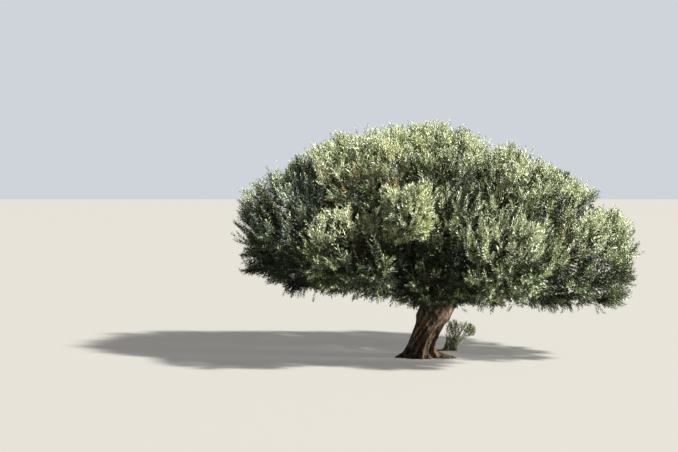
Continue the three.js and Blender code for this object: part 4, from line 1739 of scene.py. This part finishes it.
@dataclass(frozen=True)
class Studio:
    """The floor, the light and the camera at the photograph's viewing angle."""

    foot_column: float = 420.5
    foot_row: float = 357.0
    horizon_row: float = 189.0
    middle_column: float = 339.0
    middle_row: float = 226.0
    frame_columns: int = 678
    pixels_per_metre: float = 44.7
    lens: float = 70.0
    sensor: float = 36.0
    floor_size: float = 900.0
    floor_colour: tuple = linear(134, 133, 130)
    floor_roughness: float = 0.9
    floor_glow: float = 0.9
    sky_colour: tuple = linear(216, 222, 228)
    backdrop_strength: float = 0.9
    fill_strength: float = 0.08
    sun_strength: float = 11.5
    sun_spread: float = 5.0
    sun_from: tuple[float, float, float] = (1.0, -0.5, 0.9)
    sun_colour: tuple[float, float, float] = (1.0, 0.965, 0.88)
    low_strength: float = 2800.0
    low_from: tuple[float, float, float] = (7.0, -1.3, 1.4)
    low_towards: tuple[float, float, float] = (0.25, 0.0, 0.6)
    low_cone: float = 17.0
    low_size: float = 0.4
    low_blend: float = 0.6

    def set_camera(self) -> None:
        """Places the camera so that the foot of the trunk falls on its pixel."""
        focal = self.lens / self.sensor * self.frame_columns
        away = focal / self.pixels_per_metre
        camera = bpy.data.cameras.new("camera")
        camera.lens = self.lens
        camera.sensor_width = self.sensor
        camera.clip_end = 2 * self.floor_size
        holder = put_in_scene("camera", camera)
        across_by = (self.middle_column - self.foot_column) / self.pixels_per_metre
        above_by = (self.foot_row - self.horizon_row) / self.pixels_per_metre
        holder.location = (across_by, -away, above_by)
        pitch = math.atan2(self.middle_row - self.horizon_row, focal)
        holder.rotation_euler = (math.pi / 2 - pitch, 0, 0)
        bpy.context.scene.camera = holder

    def _lamp(self, name: str, kind: str, strength: float, way: Vector) -> bpy.types.Object:
        """A lamp in the scene that shines from a way."""
        lamp = bpy.data.lights.new(name, kind)
        lamp.energy = strength
        lamp.color = self.sun_colour
        holder = put_in_scene(name, lamp)
        holder.rotation_euler = way.to_track_quat("Z", "Y").to_euler()
        return holder

    def set_light(self) -> None:
        """Sets a key light from the right and a low one on the trunk."""
        key = self._lamp("key", "SUN", self.sun_strength, Vector(self.sun_from))
        key.data.angle = math.radians(self.sun_spread)
        way = Vector(self.low_from) - Vector(self.low_towards)
        low = self._lamp("low", "SPOT", self.low_strength, way)
        low.location = self.low_from
        low.data.spot_size = math.radians(self.low_cone)
        low.data.spot_blend = self.low_blend
        low.data.shadow_soft_size = self.low_size

    def set_backdrop(self) -> None:
        """Sets an even fill from all round, with a pale backdrop that only the camera sees."""
        world = bpy.data.worlds.new("studio")
        world.use_nodes = True
        bench = NodeBench(world.node_tree)
        straight = bench.add("LightPath").outputs["Is Camera Ray"]
        strength = bench.add("MapRange", {"Value": straight, "To Min": self.fill_strength,
                                          "To Max": self.backdrop_strength}).outputs[0]
        backdrop = world.node_tree.nodes["Background"]
        bench.feed(backdrop.inputs, {"Color": self.sky_colour, "Strength": strength})
        bpy.context.scene.world = world
        bpy.context.scene.view_settings.view_transform = "Standard"

    def lay_floor(self) -> None:
        """Lays the floor, which isn't part of the tree and glows for the camera alone."""
        shape = bmesh.new()
        bmesh.ops.create_grid(shape, x_segments=1, y_segments=1, size=self.floor_size / 2)
        mesh = mesh_of(shape, "floor")
        finish, bench, shader = new_material("floor")
        straight = bench.add("LightPath").outputs["Is Camera Ray"]
        bench.feed(shader, {
            "Base Color": self.floor_colour,
            "Roughness": self.floor_roughness,
            "Emission Color": self.floor_colour,
            "Emission Strength": bench.maths("MULTIPLY", straight, self.floor_glow),
        })
        mesh.materials.append(finish)
        floor = put_in_scene("floor", mesh)

    def build(self) -> None:
        """Sets up the whole studio."""
        self.set_camera()
        self.set_light()
        self.set_backdrop()
        self.lay_floor()


def main() -> None:
    """Builds the tree's pieces in order."""
    logging.basicConfig(level=logging.INFO, format="%(message)s")
    Studio().build()
    trunk = Trunk()
    limbs = Limbs(trunk)
    crown = Crown(limbs)
    limbs.lay_out(crown)
    trunk.build(limbs, TRUNK_BARK.material())
    limbs.build(BOUGH_BARK.material())
    finishes = leaf_finishes()
    twig_bark = TWIG_BARK.material()
    leaves = sum(Foliage(crown, mass).build(finishes, twig_bark) for mass in crown.masses)
    log.info("%d leaves in all", leaves)


if __name__ == "__main__":
    main()
